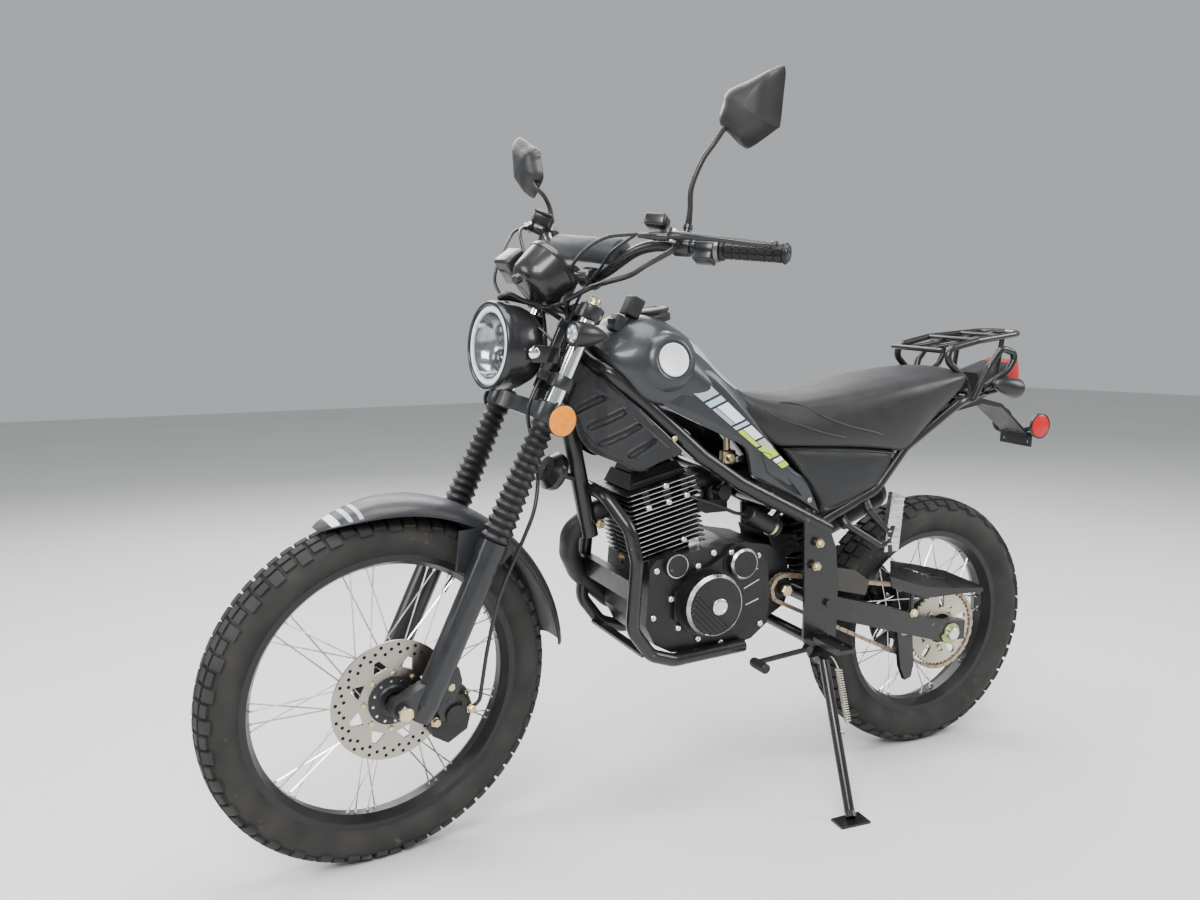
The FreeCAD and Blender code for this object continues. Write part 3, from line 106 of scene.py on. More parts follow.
def finish(name, colour, rough, metal=0.0, mottle=0.14, blotch=7.0, grain=600.0, relief=0.04, gloss=0.0,
           scuff=0.0, scuff_colour=(0.35, 0.34, 0.32), sheen=0.0):
    """A painted, cast, moulded or rubber surface: slow noise mottles its colour, a finer noise varies how
    rough it is and raises its grain, and rare high noise turns into scuffs of a paler colour."""
    material = bpy.data.materials.new(name)
    material.use_nodes = True
    nodes, links = material.node_tree.nodes, material.node_tree.links
    shader = nodes["Principled BSDF"]
    shader.inputs["Metallic"].default_value = metal
    shader.inputs["Coat Weight"].default_value = gloss
    shader.inputs["Coat Roughness"].default_value = 0.08
    shader.inputs["Sheen Weight"].default_value = sheen
    shader.inputs["Specular IOR Level"].default_value = 0.35
    where = nodes.new("ShaderNodeTexCoord").outputs["Object"]

    def noise(scale, detail):
        """Noise over the object's own coordinates, so many cells to a metre."""
        node = nodes.new("ShaderNodeTexNoise")
        node.inputs["Scale"].default_value = scale
        node.inputs["Detail"].default_value = detail
        links.new(where, node.inputs["Vector"])
        return node.outputs["Fac"]

    def between(value, low, high, to_low, to_high):
        """A value's share of the way from low to high, carried over to another pair of ends."""
        node = nodes.new("ShaderNodeMapRange")
        for socket, number in zip(node.inputs[1:5], (low, high, to_low, to_high)):
            socket.default_value = number
        links.new(value, node.inputs[0])
        return node.outputs[0]

    def blend(amount, first, second):
        """Two shades, each a colour or another node's output, mixed by an amount from 0 to 1."""
        node = nodes.new("ShaderNodeMix")
        node.data_type = "RGBA"
        links.new(amount, node.inputs["Factor"])
        for socket, shade in zip((node.inputs[6], node.inputs[7]), (first, second)):
            if isinstance(shade, tuple):
                socket.default_value = (*shade, 1)
            else:
                links.new(shade, socket)
        return node.outputs[2]

    dark = tuple(c * (1 - mottle) for c in colour)
    light = tuple(min(1.0, c * (1 + mottle)) for c in colour)
    shade = blend(between(noise(blotch, 4), 0.35, 0.65, 0, 1), dark, light)
    fine = noise(grain, 3)
    roughness = between(noise(blotch * 4, 5), 0.3, 0.7, max(0.02, rough - 0.06), rough + 0.07)
    if scuff:
        worn = between(noise(38, 9), 0.72 - 0.12 * scuff, 0.80, 0, 0.6)
        shade = blend(worn, shade, scuff_colour)
    links.new(shade, shader.inputs["Base Color"])
    links.new(roughness, shader.inputs["Roughness"])
    bump = nodes.new("ShaderNodeBump")
    bump.inputs["Strength"].default_value = relief
    bump.inputs["Distance"].default_value = 0.001
    links.new(fine, bump.inputs["Height"])
    links.new(bump.outputs["Normal"], shader.inputs["Normal"])
    return material


floor_data = bpy.data.meshes.new("studio_floor")
corners = [(-FLOOR_HALF, -FLOOR_HALF, 0), (FLOOR_HALF, -FLOOR_HALF, 0), (FLOOR_HALF, FLOOR_HALF, 0),
           (-FLOOR_HALF, FLOOR_HALF, 0)]
floor_data.from_pydata(corners, [], [(0, 1, 2, 3)])
studio_floor = bpy.data.objects.new("studio_floor", floor_data)
bpy.context.scene.collection.objects.link(studio_floor)
floor_data.materials.append(finish("floor_card", (0.66, 0.66, 0.65), 0.8, mottle=0.02, blotch=0.6, grain=60))

# Main frame, guard, swingarm, rack and stand: round and pressed steel tube, welded and sprayed satin
# black. The bike's upright frame is in millimetres, X ahead of the rear axle and Y to the rider's left;
# the fork's own frame has X ahead of the steering stem and Z up along it.
LEAN = math.radians(-3.6)
RAKE = math.radians(24.5)
STEER = math.radians(8.3)
REAR_AXLE = np.array([0, 0, 312.0])
FRONT_AXLE = np.array([80.0, 0, 0])
joints = {joint["name"]: joint for joint in frame["joints"]}


def about(axis, angle):
    """The matrix that turns a point by an angle about X, Y or Z."""
    return np.array(Matrix.Rotation(angle, 3, axis))


def bike(points):
    """Millimetres of the upright bike taken to metres of the leaning one: turned about X, set at the axle."""
    turned_points = (np.asarray(points, float) - REAR_AXLE) @ about("X", LEAN).T
    return turned_points / 1000 + joints["rear_wheel_spin"]["pos_m"]


def fork(points):
    """Millimetres of the fork's frame taken to metres: steered, raked back, leaned and set at its axle."""
    whole_turn = about("X", LEAN) @ about("Y", -RAKE) @ about("Z", STEER)
    return (np.asarray(points, float) - FRONT_AXLE) @ whole_turn.T / 1000 + joints["front_wheel_spin"]["pos_m"]


def skin_faces(rows, columns, start):
    """Four-sided faces of a grid of points whose columns close on themselves, and a cap at either end."""
    i = np.arange(rows - 1)[:, None]
    j = np.arange(columns)[None, :]
    after = (j + 1) % columns
    corners = [i * columns + j, (i + 1) * columns + j, (i + 1) * columns + after, i * columns + after]
    sides = np.stack(np.broadcast_arrays(*corners), axis=-1).reshape(-1, 4) + start
    first = np.arange(columns) + start
    return sides.tolist(), [first.tolist(), (first + (rows - 1) * columns)[::-1].tolist()]


def piece(name, grids, material, body, crease=40.0):
    """One mesh of one or more grids of points in metres, each closed along its columns and capped where
    its first and last rows differ. Doubled points are merged, faces turned outwards, and edges sharper
    than the crease angle stay sharp."""
    points, faces, start = [], [], 0
    for grid in grids if isinstance(grids, list) else [grids]:
        sides, caps = skin_faces(*grid.shape[:2], start)
        faces += sides + ([] if np.allclose(grid[0], grid[-1], atol=1e-7) else caps)
        points.append(grid.reshape(-1, 3))
        start += len(points[-1])
    data = bpy.data.meshes.new(name)
    data.from_pydata(np.vstack(points).tolist(), [], faces)
    shell = bmesh.new()
    shell.from_mesh(data)
    bmesh.ops.remove_doubles(shell, verts=shell.verts, dist=2e-6)
    bmesh.ops.recalc_face_normals(shell, faces=shell.faces)
    shell.to_mesh(data)
    shell.free()
    data.polygons.foreach_set("use_smooth", np.ones(len(data.polygons), bool))
    data.set_sharp_from_angle(angle=math.radians(crease))
    data.materials.append(material)
    made = bpy.data.objects.new(name, data)
    bpy.context.scene.collection.objects.link(made)
    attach(made, body)
    return made


def paint(material, *names):
    """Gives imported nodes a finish."""
    for name in names:
        frame["nodes"][name].data.materials.clear()
        frame["nodes"][name].data.materials.append(material)


frame_black = finish("frame_black", (0.009, 0.009, 0.010), 0.30, mottle=0.2, grain=900, relief=0.05, gloss=0.25,
                     scuff=0.2)
paint(frame_black, "main_frame", "engine_guard", "swingarm", "luggage_rack", "side_stand", "passenger_pegs",
      "foot_controls", "chain_guards", "horn")

# Tyres: black rubber with square road-and-dirt blocks in four columns, the shoulder blocks alternately
# wide and narrow, on a carcass that bulges over the rim. Each is moulded in one, so it is one skin.
tyre_rubber = finish("tyre_rubber", (0.020, 0.019, 0.018), 0.74, mottle=0.3, blotch=16, grain=260, relief=0.25,
                     scuff=0.5, scuff_colour=(0.11, 0.10, 0.09))
TREAD_DEPTH = 7.0
BLOCK_WALL = 1.2


def spline(points, per_span=8, closed=False):
    """A smooth line or skin through its points, by the Catmull-Rom rule: between two points the curve
    leaves and arrives along the lines that join their neighbours."""
    points = np.asarray(points, float)
    count = len(points) if closed else len(points) - 1
    t = np.arange(count * per_span + (0 if closed else 1)) / per_span
    k = np.minimum(t.astype(int), count - 1)
    s = (t - k).reshape((-1,) + (1,) * (points.ndim - 1))
    p0, p1, p2, p3 = [points[(k + n) % len(points) if closed else np.clip(k + n, 0, len(points) - 1)]
                      for n in (-1, 0, 1, 2)]
    return 0.5 * (2 * p1 + (p2 - p0) * s + (2 * p0 - 5 * p1 + 4 * p2 - p3) * s ** 2
                  + (3 * p1 - p0 - 3 * p2 + p3) * s ** 3)


def block_heights(reach, phase, middle_blocks, shoulder_blocks):
    """How far the rubber stands up, 0 to 1, at a distance from the crown (right of it below 0) and a phase
    of the pattern: two rows of blocks to a phase, every second shoulder shorter, right half half a row on."""
    phase = phase + np.where(reach < 0, 0.25, 0)
    reach = np.abs(reach)
    row = np.interp(phase % 0.5, [0.0, 0.015, 0.395, 0.41, 0.5], [0.0, 1.0, 1.0, 0.0, 0.0])
    low, high = middle_blocks
    middle = np.clip(np.minimum(reach - low, high - reach) / BLOCK_WALL, 0, 1)
    low, high, short = shoulder_blocks
    edge = np.where(phase % 1.0 < 0.5, high, short)
    return row * np.maximum(middle, np.clip(np.minimum(reach - low, edge - reach) / BLOCK_WALL, 0, 1))


def tyre_skin(half_outline, pitches, middle_blocks, shoulder_blocks):
    """A spline from crown to bead (y, radius), mirrored, turned round the axle, and pushed out along its
    own normal by the height of the blocks. A lining inside closes it."""
    line = spline(half_outline, 16)
    run = np.append(0, np.cumsum(np.linalg.norm(np.diff(line, axis=0), axis=1)))
    slope = np.gradient(line, axis=0)
    normal = unit(np.stack([-slope[:, 1], slope[:, 0]], axis=-1))
    edges = np.sort([e + w for e in (*middle_blocks, *shoulder_blocks) for w in (-BLOCK_WALL, 0, BLOCK_WALL)])
    edges = edges[edges > 0]
    reach = np.concatenate([edges, np.linspace(edges[-1] + 4, run[-1], 9)])
    reach = np.concatenate([-reach[::-1], reach])
    at = np.abs(reach)
    mirror = np.sign(reach)
    section = np.stack([mirror * np.interp(at, run, line[:, 0]), np.interp(at, run, line[:, 1])], axis=-1)
    outward = np.stack([mirror * np.interp(at, run, normal[:, 0]), np.interp(at, run, normal[:, 1])], axis=-1)
    marks = np.array([0.0, 0.015, 0.145, 0.16, 0.25, 0.265, 0.395, 0.41])
    phase = np.append((np.arange(pitches)[:, None] + np.concatenate([marks, marks + 0.5])).ravel(), pitches)
    height = TREAD_DEPTH * block_heights(reach[None], phase[:, None], middle_blocks, shoulder_blocks)
    skin = section[None] + outward[None] * height[..., None]
    bead_y, bead_radius = half_outline[-1]
    lining = np.array([(0.8 * bead_y, bead_radius + 3), (1.1 * bead_y, bead_radius + 24), (0, line[0, 1] - 12),
                       (-1.1 * bead_y, bead_radius + 24), (-0.8 * bead_y, bead_radius + 3)])
    skin = np.concatenate([skin, np.broadcast_to(lining, (len(phase), 5, 2))], axis=1)
    angle = 2 * math.pi * phase[:, None] / pitches
    return np.stack([skin[..., 1] * np.sin(angle), skin[..., 0], skin[..., 1] * np.cos(angle)], axis=-1)


front_half = ((0, 343), (15, 342), (28, 337), (38, 327), (42.5, 315), (43, 303), (39, 291), (33, 284), (29, 279))
rear_half = ((0, 304.5), (20, 303), (38, 296), (50, 285), (56, 272), (56, 258), (50, 244), (42, 236), (36, 230))
front_tyre = piece("front_block_tyre", fork(FRONT_AXLE + tyre_skin(front_half, 36, (1.5, 19), (22, 44, 36))),
                   tyre_rubber, "front_wheel", crease=30)
rear_tyre = piece("rear_block_tyre", bike(REAR_AXLE + tyre_skin(rear_half, 28, (2, 25), (29, 56, 46))),
                  tyre_rubber, "rear_wheel", crease=30)
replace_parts(front_tyre, "front_tyre")
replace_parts(rear_tyre, "rear_tyre")

# Rims, hubs, spokes and disc: rolled rims and cast hubs painted black, zinc-bright spokes screwed into
# nipples, and a stainless disc ground flat and drilled, bolted to the left of the front hub.
rim_black = finish("rim_black", (0.008, 0.008, 0.009), 0.36, mottle=0.2, grain=500, relief=0.03, gloss=0.1)
hub_black = finish("hub_black", (0.011, 0.011, 0.012), 0.40, mottle=0.2, grain=300, relief=0.15)
spoke_steel = finish("spoke_steel", (0.72, 0.71, 0.69), 0.28, metal=1.0, mottle=0.1, grain=900, relief=0.05)
disc_steel = finish("disc_steel", (0.40, 0.37, 0.33), 0.34, metal=1.0, mottle=0.10, blotch=3, grain=1400, relief=0.2)
sprocket_steel = finish("sprocket_steel", (0.47, 0.44, 0.36), 0.40, metal=0.9, mottle=0.2, grain=700, relief=0.15,
                        scuff=0.5, scuff_colour=(0.16, 0.13, 0.10))
zinc_gold = finish("zinc_gold", (0.58, 0.50, 0.30), 0.32, metal=1.0, mottle=0.18, grain=900, relief=0.04)
# Painted shade: near-black, for the plugs that fill the discs' drilled holes.
drilled = finish("drilled", (0.004, 0.004, 0.004), 0.9, mottle=0.1, grain=300)
paint(rim_black, "front_rim", "rear_rim")
paint(hub_black, "front_hub", "rear_hub", "brake_caliper")
paint(spoke_steel, "front_spokes", "rear_spokes")
paint(disc_steel, "brake_disc")
paint(sprocket_steel, "rear_sprocket")
DISC_PLANE = 54.0
CHAIN_PLANE = 82.0
SPOKES_ON_A_SIDE = 18


def spun(profile, base, axis, count=48):
    """A profile of (radius, height) points turned about an axis that starts at a base point."""
    radius, height = np.asarray(profile, float).T
    axis = unit(axis)
    side = unit(np.cross(axis, (0, 0, 1) if abs(axis[2]) < 0.9 else (0, 1, 0)))
    angle = np.linspace(0, 2 * math.pi, count + 1)[:, None, None]
    out = np.cos(angle) * side + np.sin(angle) * np.cross(axis, side)
    return np.asarray(base, float) + out * radius[:, None] + axis * height[:, None]


def studs(profile, places, count=12, axis=(0, 1, 0)):
    """One turned shape, such as a bolt or a hole's plug, repeated at several places."""
    return [spun(profile, place, axis, count) for place in places]


def placed(place, *grids):
    """Grids taken to their place by the bike's or the fork's frame."""
    return [place(grid) for grid in grids]


def left_and_right(place, *grids):
    """Grids of one side of the bike and their mirror images, each taken to its place."""
    return [place(grid * side) for grid in grids for side in (np.array([1, 1, 1]), np.array([1, -1, 1]))]


def round_wheel(count, radius, y, start=0.0):
    """Places at a radius from the axle, evenly spaced: (r sin a, y, r cos a)."""
    angle = start + 2 * math.pi * np.arange(count) / count
    return np.stack([radius * np.sin(angle), np.full(count, float(y)), radius * np.cos(angle)], axis=-1)


def nipples(seat_radius, seat_y, rim_radius):
    """The threaded nipples where the spokes meet the rim: small turned sleeves that point down each
    spoke, from its end at the rim towards its seat in the hub."""
    sleeve = [(0, -4), (2.9, -4), (2.9, 9), (2.1, 12), (0, 12)]
    grids = []
    for side, late in ((1, 0.0), (-1, 0.5)):
        for i in range(SPOKES_ON_A_SIDE):
            lead = 1 if i % 2 else -1
            turn = 2 * math.pi * (i + late) / SPOKES_ON_A_SIDE
            seat = round_wheel(1, seat_radius, side * (seat_y + 3.4 * lead), turn)[0]
            end = round_wheel(1, rim_radius, side * (3 + 0.8 * lead), turn + math.radians(52) * lead)[0]
            grids.append(spun(sleeve, end, seat - end, 8))
    return grids


piece("front_nipples", [fork(FRONT_AXLE + grid) for grid in nipples(43, 31, 260)], spoke_steel, "front_wheel")
piece("rear_nipples", [bike(REAR_AXLE + grid) for grid in nipples(66, 27, 211)], spoke_steel, "rear_wheel")
# The drilled holes in both discs are drawn as near-black plugs: painted shade standing in for the open holes.
hole = [(0, -2.25), (3.5, -2.25), (3.5, 2.25), (0, 2.25)]
hole_rings = np.concatenate([round_wheel(20, radius, DISC_PLANE, start) for radius, start in
                             ((112, 0.0), (104, 0.13), (96.5, 0.26))])
piece("disc_holes", placed(fork, *studs(hole, FRONT_AXLE + hole_rings)), drilled, "front_wheel")
rear_holes = REAR_AXLE + round_wheel(20, 100, -46)
piece("rear_disc_holes", placed(bike, *studs(hole, rear_holes)), drilled, "rear_wheel")
flange = spun([(20, 56), (47, 56), (48, 58.5), (44, 60.5), (34, 62), (31, 66), (20, 66)], FRONT_AXLE, (0, 1, 0), 48)
piece("hub_flange", fork(flange), hub_black, "front_wheel")
rivets = studs([(0, 0), (2.6, 0), (2.6, 1.2), (0, 1.6)], FRONT_AXLE + round_wheel(12, 40.5, 60.4), 10)
piece("hub_rivets", placed(fork, *rivets), spoke_steel, "front_wheel")
disc_bolt = [(0, 0), (5.4, 0), (5.4, 3), (4, 4), (0, 4)]
disc_bolts = studs(disc_bolt, FRONT_AXLE + round_wheel(8, 57, 55.8, 0.39))
piece("disc_bolts", placed(fork, *disc_bolts), zinc_gold, "front_wheel")
sprocket_bolts = studs(disc_bolt, REAR_AXLE + round_wheel(5, 47, CHAIN_PLANE + 2.8, 0.63), 6)
piece("sprocket_bolts", placed(bike, *sprocket_bolts), zinc_gold, "rear_wheel")
valve_way = round_wheel(1, 1, 0, -0.2)[0]
valve = spun([(0, 0), (4, 0), (4, 24), (5, 25), (5, 38), (0, 38)], FRONT_AXLE + 258 * valve_way, -valve_way, 14)
piece("tyre_valve", fork(valve), tyre_rubber, "front_wheel")
axle_nut = spun([(0, 119), (15, 119), (15, 128), (12.5, 130), (0, 130)], FRONT_AXLE, (0, 1, 0), 6)
piece("front_axle_nuts", left_and_right(fork, axle_nut), zinc_gold, "steering")

# Fork: black sliders, ribbed rubber gaiters, and hard-chromed tubes between the two cast clamps, which
# pinch them with bolts; domed plugs close the tubes.
fork_black = finish("fork_black", (0.012, 0.013, 0.015), 0.34, mottle=0.15, grain=700, relief=0.06, gloss=0.25)
gaiter_rubber = finish("gaiter_rubber", (0.009, 0.009, 0.010), 0.46, mottle=0.2, grain=320, relief=0.12)
hard_chrome = finish("hard_chrome", (0.86, 0.87, 0.88), 0.07, metal=1.0, mottle=0.03, grain=900, relief=0.01)
paint(fork_black, "fork_sliders")
paint(gaiter_rubber, "fork_gaiters")
paint(hard_chrome, "fork_tubes")


def slab(outline, near, far, bevel=1.2):
    """A flat plate: an (x, z) outline carried from one y to another, bevelled by drawing its two end
    outlines in towards their middle."""
    outline = np.asarray(outline, float)
    middle = outline.mean(axis=0)
    drawn = bevel / np.abs(outline - middle).max()
    y = np.array([near, near + bevel, far - bevel, far])[:, None]
    size = np.array([1 - drawn, 1, 1, 1 - drawn])[:, None]
    return np.stack([middle[0] + (outline[:, 0] - middle[0]) * size, np.broadcast_to(y, (4, len(outline))),
                     middle[1] + (outline[:, 1] - middle[1]) * size], axis=-1)


def swept(path, radius, around=12, per_span=8, upward=(0.12, 0.2, 1.0)):
    """A bar, hose or cable: a circle carried along a spline through the path and set square to it by the
    path's own direction and one upward line. Its radius is one number, or one for each path point."""
    line = spline(path, per_span)
    size = spline(np.broadcast_to(np.asarray(radius, float), (len(path),)), per_span)
    run = unit(np.gradient(line, axis=0))
    side = unit(np.cross(run, upward))
    angle = np.linspace(0, 2 * math.pi, around, endpoint=False)[:, None]
    ring = np.cos(angle) * side[:, None] + np.sin(angle) * np.cross(side, run)[:, None]
    return line[:, None] + ring * size[:, None, None]


TUBE_PLACE = (32, 95, 0)
STEM = (0, 0, 1)
CLAMPS = (
    # low and high face along the stem, how far its nose reaches ahead, collar radius
    (600, 632, 44, 27), (812, 834, 38, 25))
clamp_grids = []
for low, high, nose, collar in CLAMPS:
    outline = spline(((nose, 0), (nose - 2, 40), (52, 84), (44, 112), (22, 112), (8, 84), (-18, 40), (-24, 0),
                      (-18, -40), (8, -84), (22, -112), (44, -112), (52, -84), (nose - 2, -40)), 4, closed=True)
    clamp_grids.append(fork(slab(outline, low, high, 2.5)[..., [0, 2, 1]]))
    ring = [(17, low - 2), (collar - 2, low - 2), (collar, low + 1), (collar, high + 3), (collar - 3, high + 6),
            (17, high + 6)]
    clamp_grids += left_and_right(fork, spun(ring, TUBE_PLACE, STEM, 36))
stem_skin = spun([(0, 604), (15, 604), (15, 830), (18, 834), (18, 842), (14, 846), (0, 847)], (0, 0, 0), STEM, 32)
riser = spun([(0, 826), (14, 826), (14, 880), (0, 884)], (17, 42, 0), (0.06, 0, 1), 24)
riser_cap = spun([(10, 26), (20, 26), (22, 28), (22, 54), (20, 56), (10, 56)], (28, 0, 896), (0, 1, 0), 28)
ear = spun([(17.6, 668), (24, 668), (25, 672), (25, 690), (24, 694), (17.6, 694)], TUBE_PLACE, STEM, 32)
clamp_grids += [fork(stem_skin)] + left_and_right(fork, riser, riser_cap, ear, ear + (0, 0, 104))
clamps = piece("clamp_castings", clamp_grids, fork_black, "steering")
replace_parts(clamps, "fork_clamps")
plug = spun([(0, 836), (16, 836), (16, 844), (12, 846), (11, 854), (8, 857), (0, 858)], TUBE_PLACE, STEM, 24)
pinch_bolts = studs([(0, 0), (7, 0), (7, 6), (5, 8), (0, 8)], ((18, 110, 608), (18, 110, 625), (22, 110, 823)), 6,
                    (0.2, 1, 0))
piece("clamp_bolts", left_and_right(fork, plug, *pinch_bolts), zinc_gold, "steering")

# Brake caliper: two cast halves astride the disc, slid on pins in a bracket that two plated bolts hold to
# the left slider. The hose ends in a banjo bolt behind, beside the bleed nipple.
caliper_pot = spun([(0, -16), (23, -16), (23, 4), (20, 8), (9, 8), (8, 5), (0, 5)], (-37, 85, 31), (0, 1, 0), 36)
boot_profile = [(0, 0), (7, 0), (8, 3), (6.5, 6), (8, 9), (6.5, 12), (7, 15), (0, 15)]
pin_boot = spun(boot_profile, (-12, 86, 40), (0.2, 0, -1), 16)
piece("caliper_castings", placed(fork, caliper_pot, pin_boot), hub_black, "steering")
plated_bolt = [(0, -14), (5, -14), (5, 0), (11, 0), (11, 2), (8.5, 2.4), (8.5, 8), (7, 9.5), (0, 9.5)]
CALIPER_BOLTS = ((-9, 85, 60), (-11, 85, -14), (-74, 85, 28))
bleed = spun([(0, -8), (4, -8), (4, 6), (2.6, 7), (2.6, 14), (0, 14)], (-44, 85, 55), (-0.3, 1, 0.5), 12)
piece("caliper_bolts", placed(fork, *studs(plated_bolt, CALIPER_BOLTS, 6), bleed), zinc_gold, "steering")

# Engine: a single whose cast halves, cylinder and head are painted black. The long edges of its fins and
# the rims of its covers are machined bright after painting; zinc bolts hold the covers, and a slatted
# black cap closes the generator.
engine_black = finish("engine_black", (0.008, 0.008, 0.009), 0.34, mottle=0.25, blotch=24, grain=380, relief=0.35,
                      scuff=0.15)
exhaust_black = finish("exhaust_black", (0.014, 0.014, 0.014), 0.5, mottle=0.3, grain=240, relief=0.2)
machined = finish("machined", (0.62, 0.62, 0.63), 0.30, metal=1.0, mottle=0.12, blotch=30, grain=1200, relief=0.08)
bolt_zinc = finish("bolt_zinc", (0.72, 0.72, 0.70), 0.30, metal=1.0, mottle=0.14, grain=900, relief=0.05)
paint(engine_black, "crankcase", "cylinder", "intake", "rear_shock")
paint(exhaust_black, "exhaust")
CYLINDER_FOOT = np.array([742, 0, 560.0])
CYLINDER_TILT = math.radians(13)
FIN_PITCH = 10.5
FIN_COUNT = 15
CYLINDER_FINS = 10


def on_cylinder(grid):
    """Points of the upright cylinder, from its foot, leaned ahead with it and taken to the bike's place."""
    return bike(CYLINDER_FOOT + grid @ about("Y", CYLINDER_TILT).T)


fin_edges = []
for i in range(FIN_COUNT):
    low = 19 + FIN_PITCH * i
    ahead, back, half = (72, -72, 76) if i < CYLINDER_FINS else (76, -78, 82)
    edge = ((ahead, low), (ahead, low + 1.1), (back, low + 1.1), (back, low))
    fin_edges.append(slab(edge, half - 0.4, half + 0.35, 0.15))
piece("fin_edges", left_and_right(on_cylinder, *fin_edges), machined, "frame")
HEAD_COLUMNS = ((-52, 8), (-8, 9), (40, 8))
columns = [slab(((x - w, 122), (x + w, 122), (x + w, 172), (x - w, 172)), 60, 79, 2) for x, w in HEAD_COLUMNS]
head_lid = slab(((-58, 184), (50, 184), (42, 208), (-50, 208)), -40, 40, 5)
piece("head_columns", [*left_and_right(on_cylinder, *columns), on_cylinder(head_lid)], engine_black, "frame")
small_bolt = [(0, -10), (4, -10), (4, 0), (6.6, 0), (6.6, 4.5), (5, 6), (2.6, 6), (2.4, 3.6), (0, 3.6)]
head_bolts = studs(small_bolt, ((-52, 79, 130), (-8, 79, 164), (-8, 79, 128), (40, 79, 130)), 16)
piece("head_bolts", left_and_right(on_cylinder, *head_bolts), bolt_zinc, "frame")

CRANK = np.array([680, 0, 470.0])
SMALL_COVER = np.array([600, 112, 548.0])
cover_rims = [spun([(66.4, 25.4), (67.5, 25.8), (62.5, 34.4), (61.5, 33.8)], CRANK + (0, 112, 0), (0, 1, 0), 72),
              spun([(32.4, 12.4), (33.5, 12.8), (29.5, 17.3), (28.5, 16.8)], SMALL_COVER, (0, 1, 0), 56),
              spun([(23.4, 110), (25.4, 110), (25.4, 112.4), (23.4, 112.8)], (756, 0, 556), (0, 1, 0), 48)]
COVER_LINES = (
    # from and to, on the cover behind the generator
    ((616, 516), (556, 530)), ((590, 489), (552, 505)), ((584, 452), (552, 462)))
for start, end in COVER_LINES:
    across_line = 1.1 * unit((end[1] - start[1], start[0] - end[0]))
    corners = (start + across_line, end + across_line, end - across_line, start - across_line)
    cover_rims.append(slab(corners, 108, 111.2, 0.3))
piece("cover_rims", placed(bike, *cover_rims), machined, "frame", crease=30)
SLAT_ROUND = 60.0
slat_run, slat_side = np.array([-0.707, -0.707]), np.array([0.707, -0.707])
slats = []
for off in (10, 19, 28, 37, 46, 55):
    reach = 0.94 * math.sqrt(SLAT_ROUND ** 2 - off ** 2) * slat_run
    middle = CRANK[[0, 2]] + off * slat_side
    wide = 2.2 * slat_side
    slats.append(slab((middle - reach + wide, middle + reach + wide, middle + reach - wide, middle - reach - wide),
                      144, 149.6, 0.9))
piece("generator_slats", placed(bike, *slats), engine_black, "frame", crease=30)
cap_profile = [(0, 0), (17.6, 0), (17.6, 5), (16, 6.6), (12, 7), (11, 6), (0, 6.4)]
inspection_cap = spun(cap_profile, (674, 147, 470), (0, 1, 0), 40)
plug_profile = [(0, -24), (12, -24), (12, 0), (13.5, 0), (13.5, 3), (12, 4), (0, 4)]
timing_plug = spun(plug_profile, (698, 76, 590), (0, 1, 0), 36)
CASE_BOLTS = ((724, 76, 603), (701, 100, 548), (764, 100, 484), (746, 100, 419), (697, 100, 389), (627, 112, 573),
              (551, 100, 556), (664, 100, 573), (806, 100, 448), (800, 100, 548), (640, 100, 372), (540, 100, 402))
case_bolts = studs(small_bolt, CASE_BOLTS, 16)
right_bolts = studs(small_bolt, (630, 0, 470) + round_wheel(8, 76, -112), 16, (0, -1, 0))
piece("case_bolts", placed(bike, inspection_cap, timing_plug, *case_bolts, *right_bolts), bolt_zinc, "frame")
shaft_nut = spun([(0, 0), (14, 0), (14, 8), (12, 10), (0, 10)], (470, 95, 467), (0, 1, 0), 6)
MOUNT_BOLTS = ((416, 138, 578), (422, 138, 527), (893, 26, 640), (812, 26, 548))
mount_bolts = left_and_right(bike, *studs(plated_bolt, MOUNT_BOLTS, 6))
piece("mount_bolts", [*mount_bolts, bike(shaft_nut)], zinc_gold, "frame")

# Rear shock and chain: a coil spring over a black damper in front of the rear wheel; a roller chain of
# pins, rollers and pairs of plates, oiled brown, runs round both sprockets. Plated snail cams on the rear
# axle set its tension, and a moulded cover is screwed to the swingarm.
chain_steel = finish("chain_steel", (0.34, 0.27, 0.20), 0.45, metal=0.8, mottle=0.3, grain=700, relief=0.2)
PINION = np.array([470, 467.0])
SPROCKET_RADII = (97.1, 30.5)
CHAIN_PITCH = 12.7


def chain_line():
    """The pitch line round both sprockets, cut into equal links: arcs of the two pitch circles joined by
    the straight lines that touch both, asin((R - r) / span) off the line between their middles."""
    big, little = SPROCKET_RADII
    run = PINION - REAR_AXLE[[0, 2]]
    tilt, off = math.atan2(run[1], run[0]), math.asin((big - little) / np.linalg.norm(run))
    top, low = tilt + math.pi / 2 - off, tilt - math.pi / 2 + off
    round_big = np.linspace(top, low + 2 * math.pi, 90)[:, None]
    round_little = np.linspace(low, top, 30)[:, None]
    loop = np.concatenate([REAR_AXLE[[0, 2]] + big * np.concatenate([np.cos(round_big), np.sin(round_big)], axis=1),
                           PINION + little * np.concatenate([np.cos(round_little), np.sin(round_little)], axis=1)])
    loop = np.concatenate([loop, loop[:1]])
    far = np.append(0, np.cumsum(np.linalg.norm(np.diff(loop, axis=0), axis=1)))
    at = np.linspace(0, far[-1], 2 * round(far[-1] / CHAIN_PITCH / 2) + 1)
    return np.stack([np.interp(at, far, loop[:, k]) for k in (0, 1)], axis=-1)


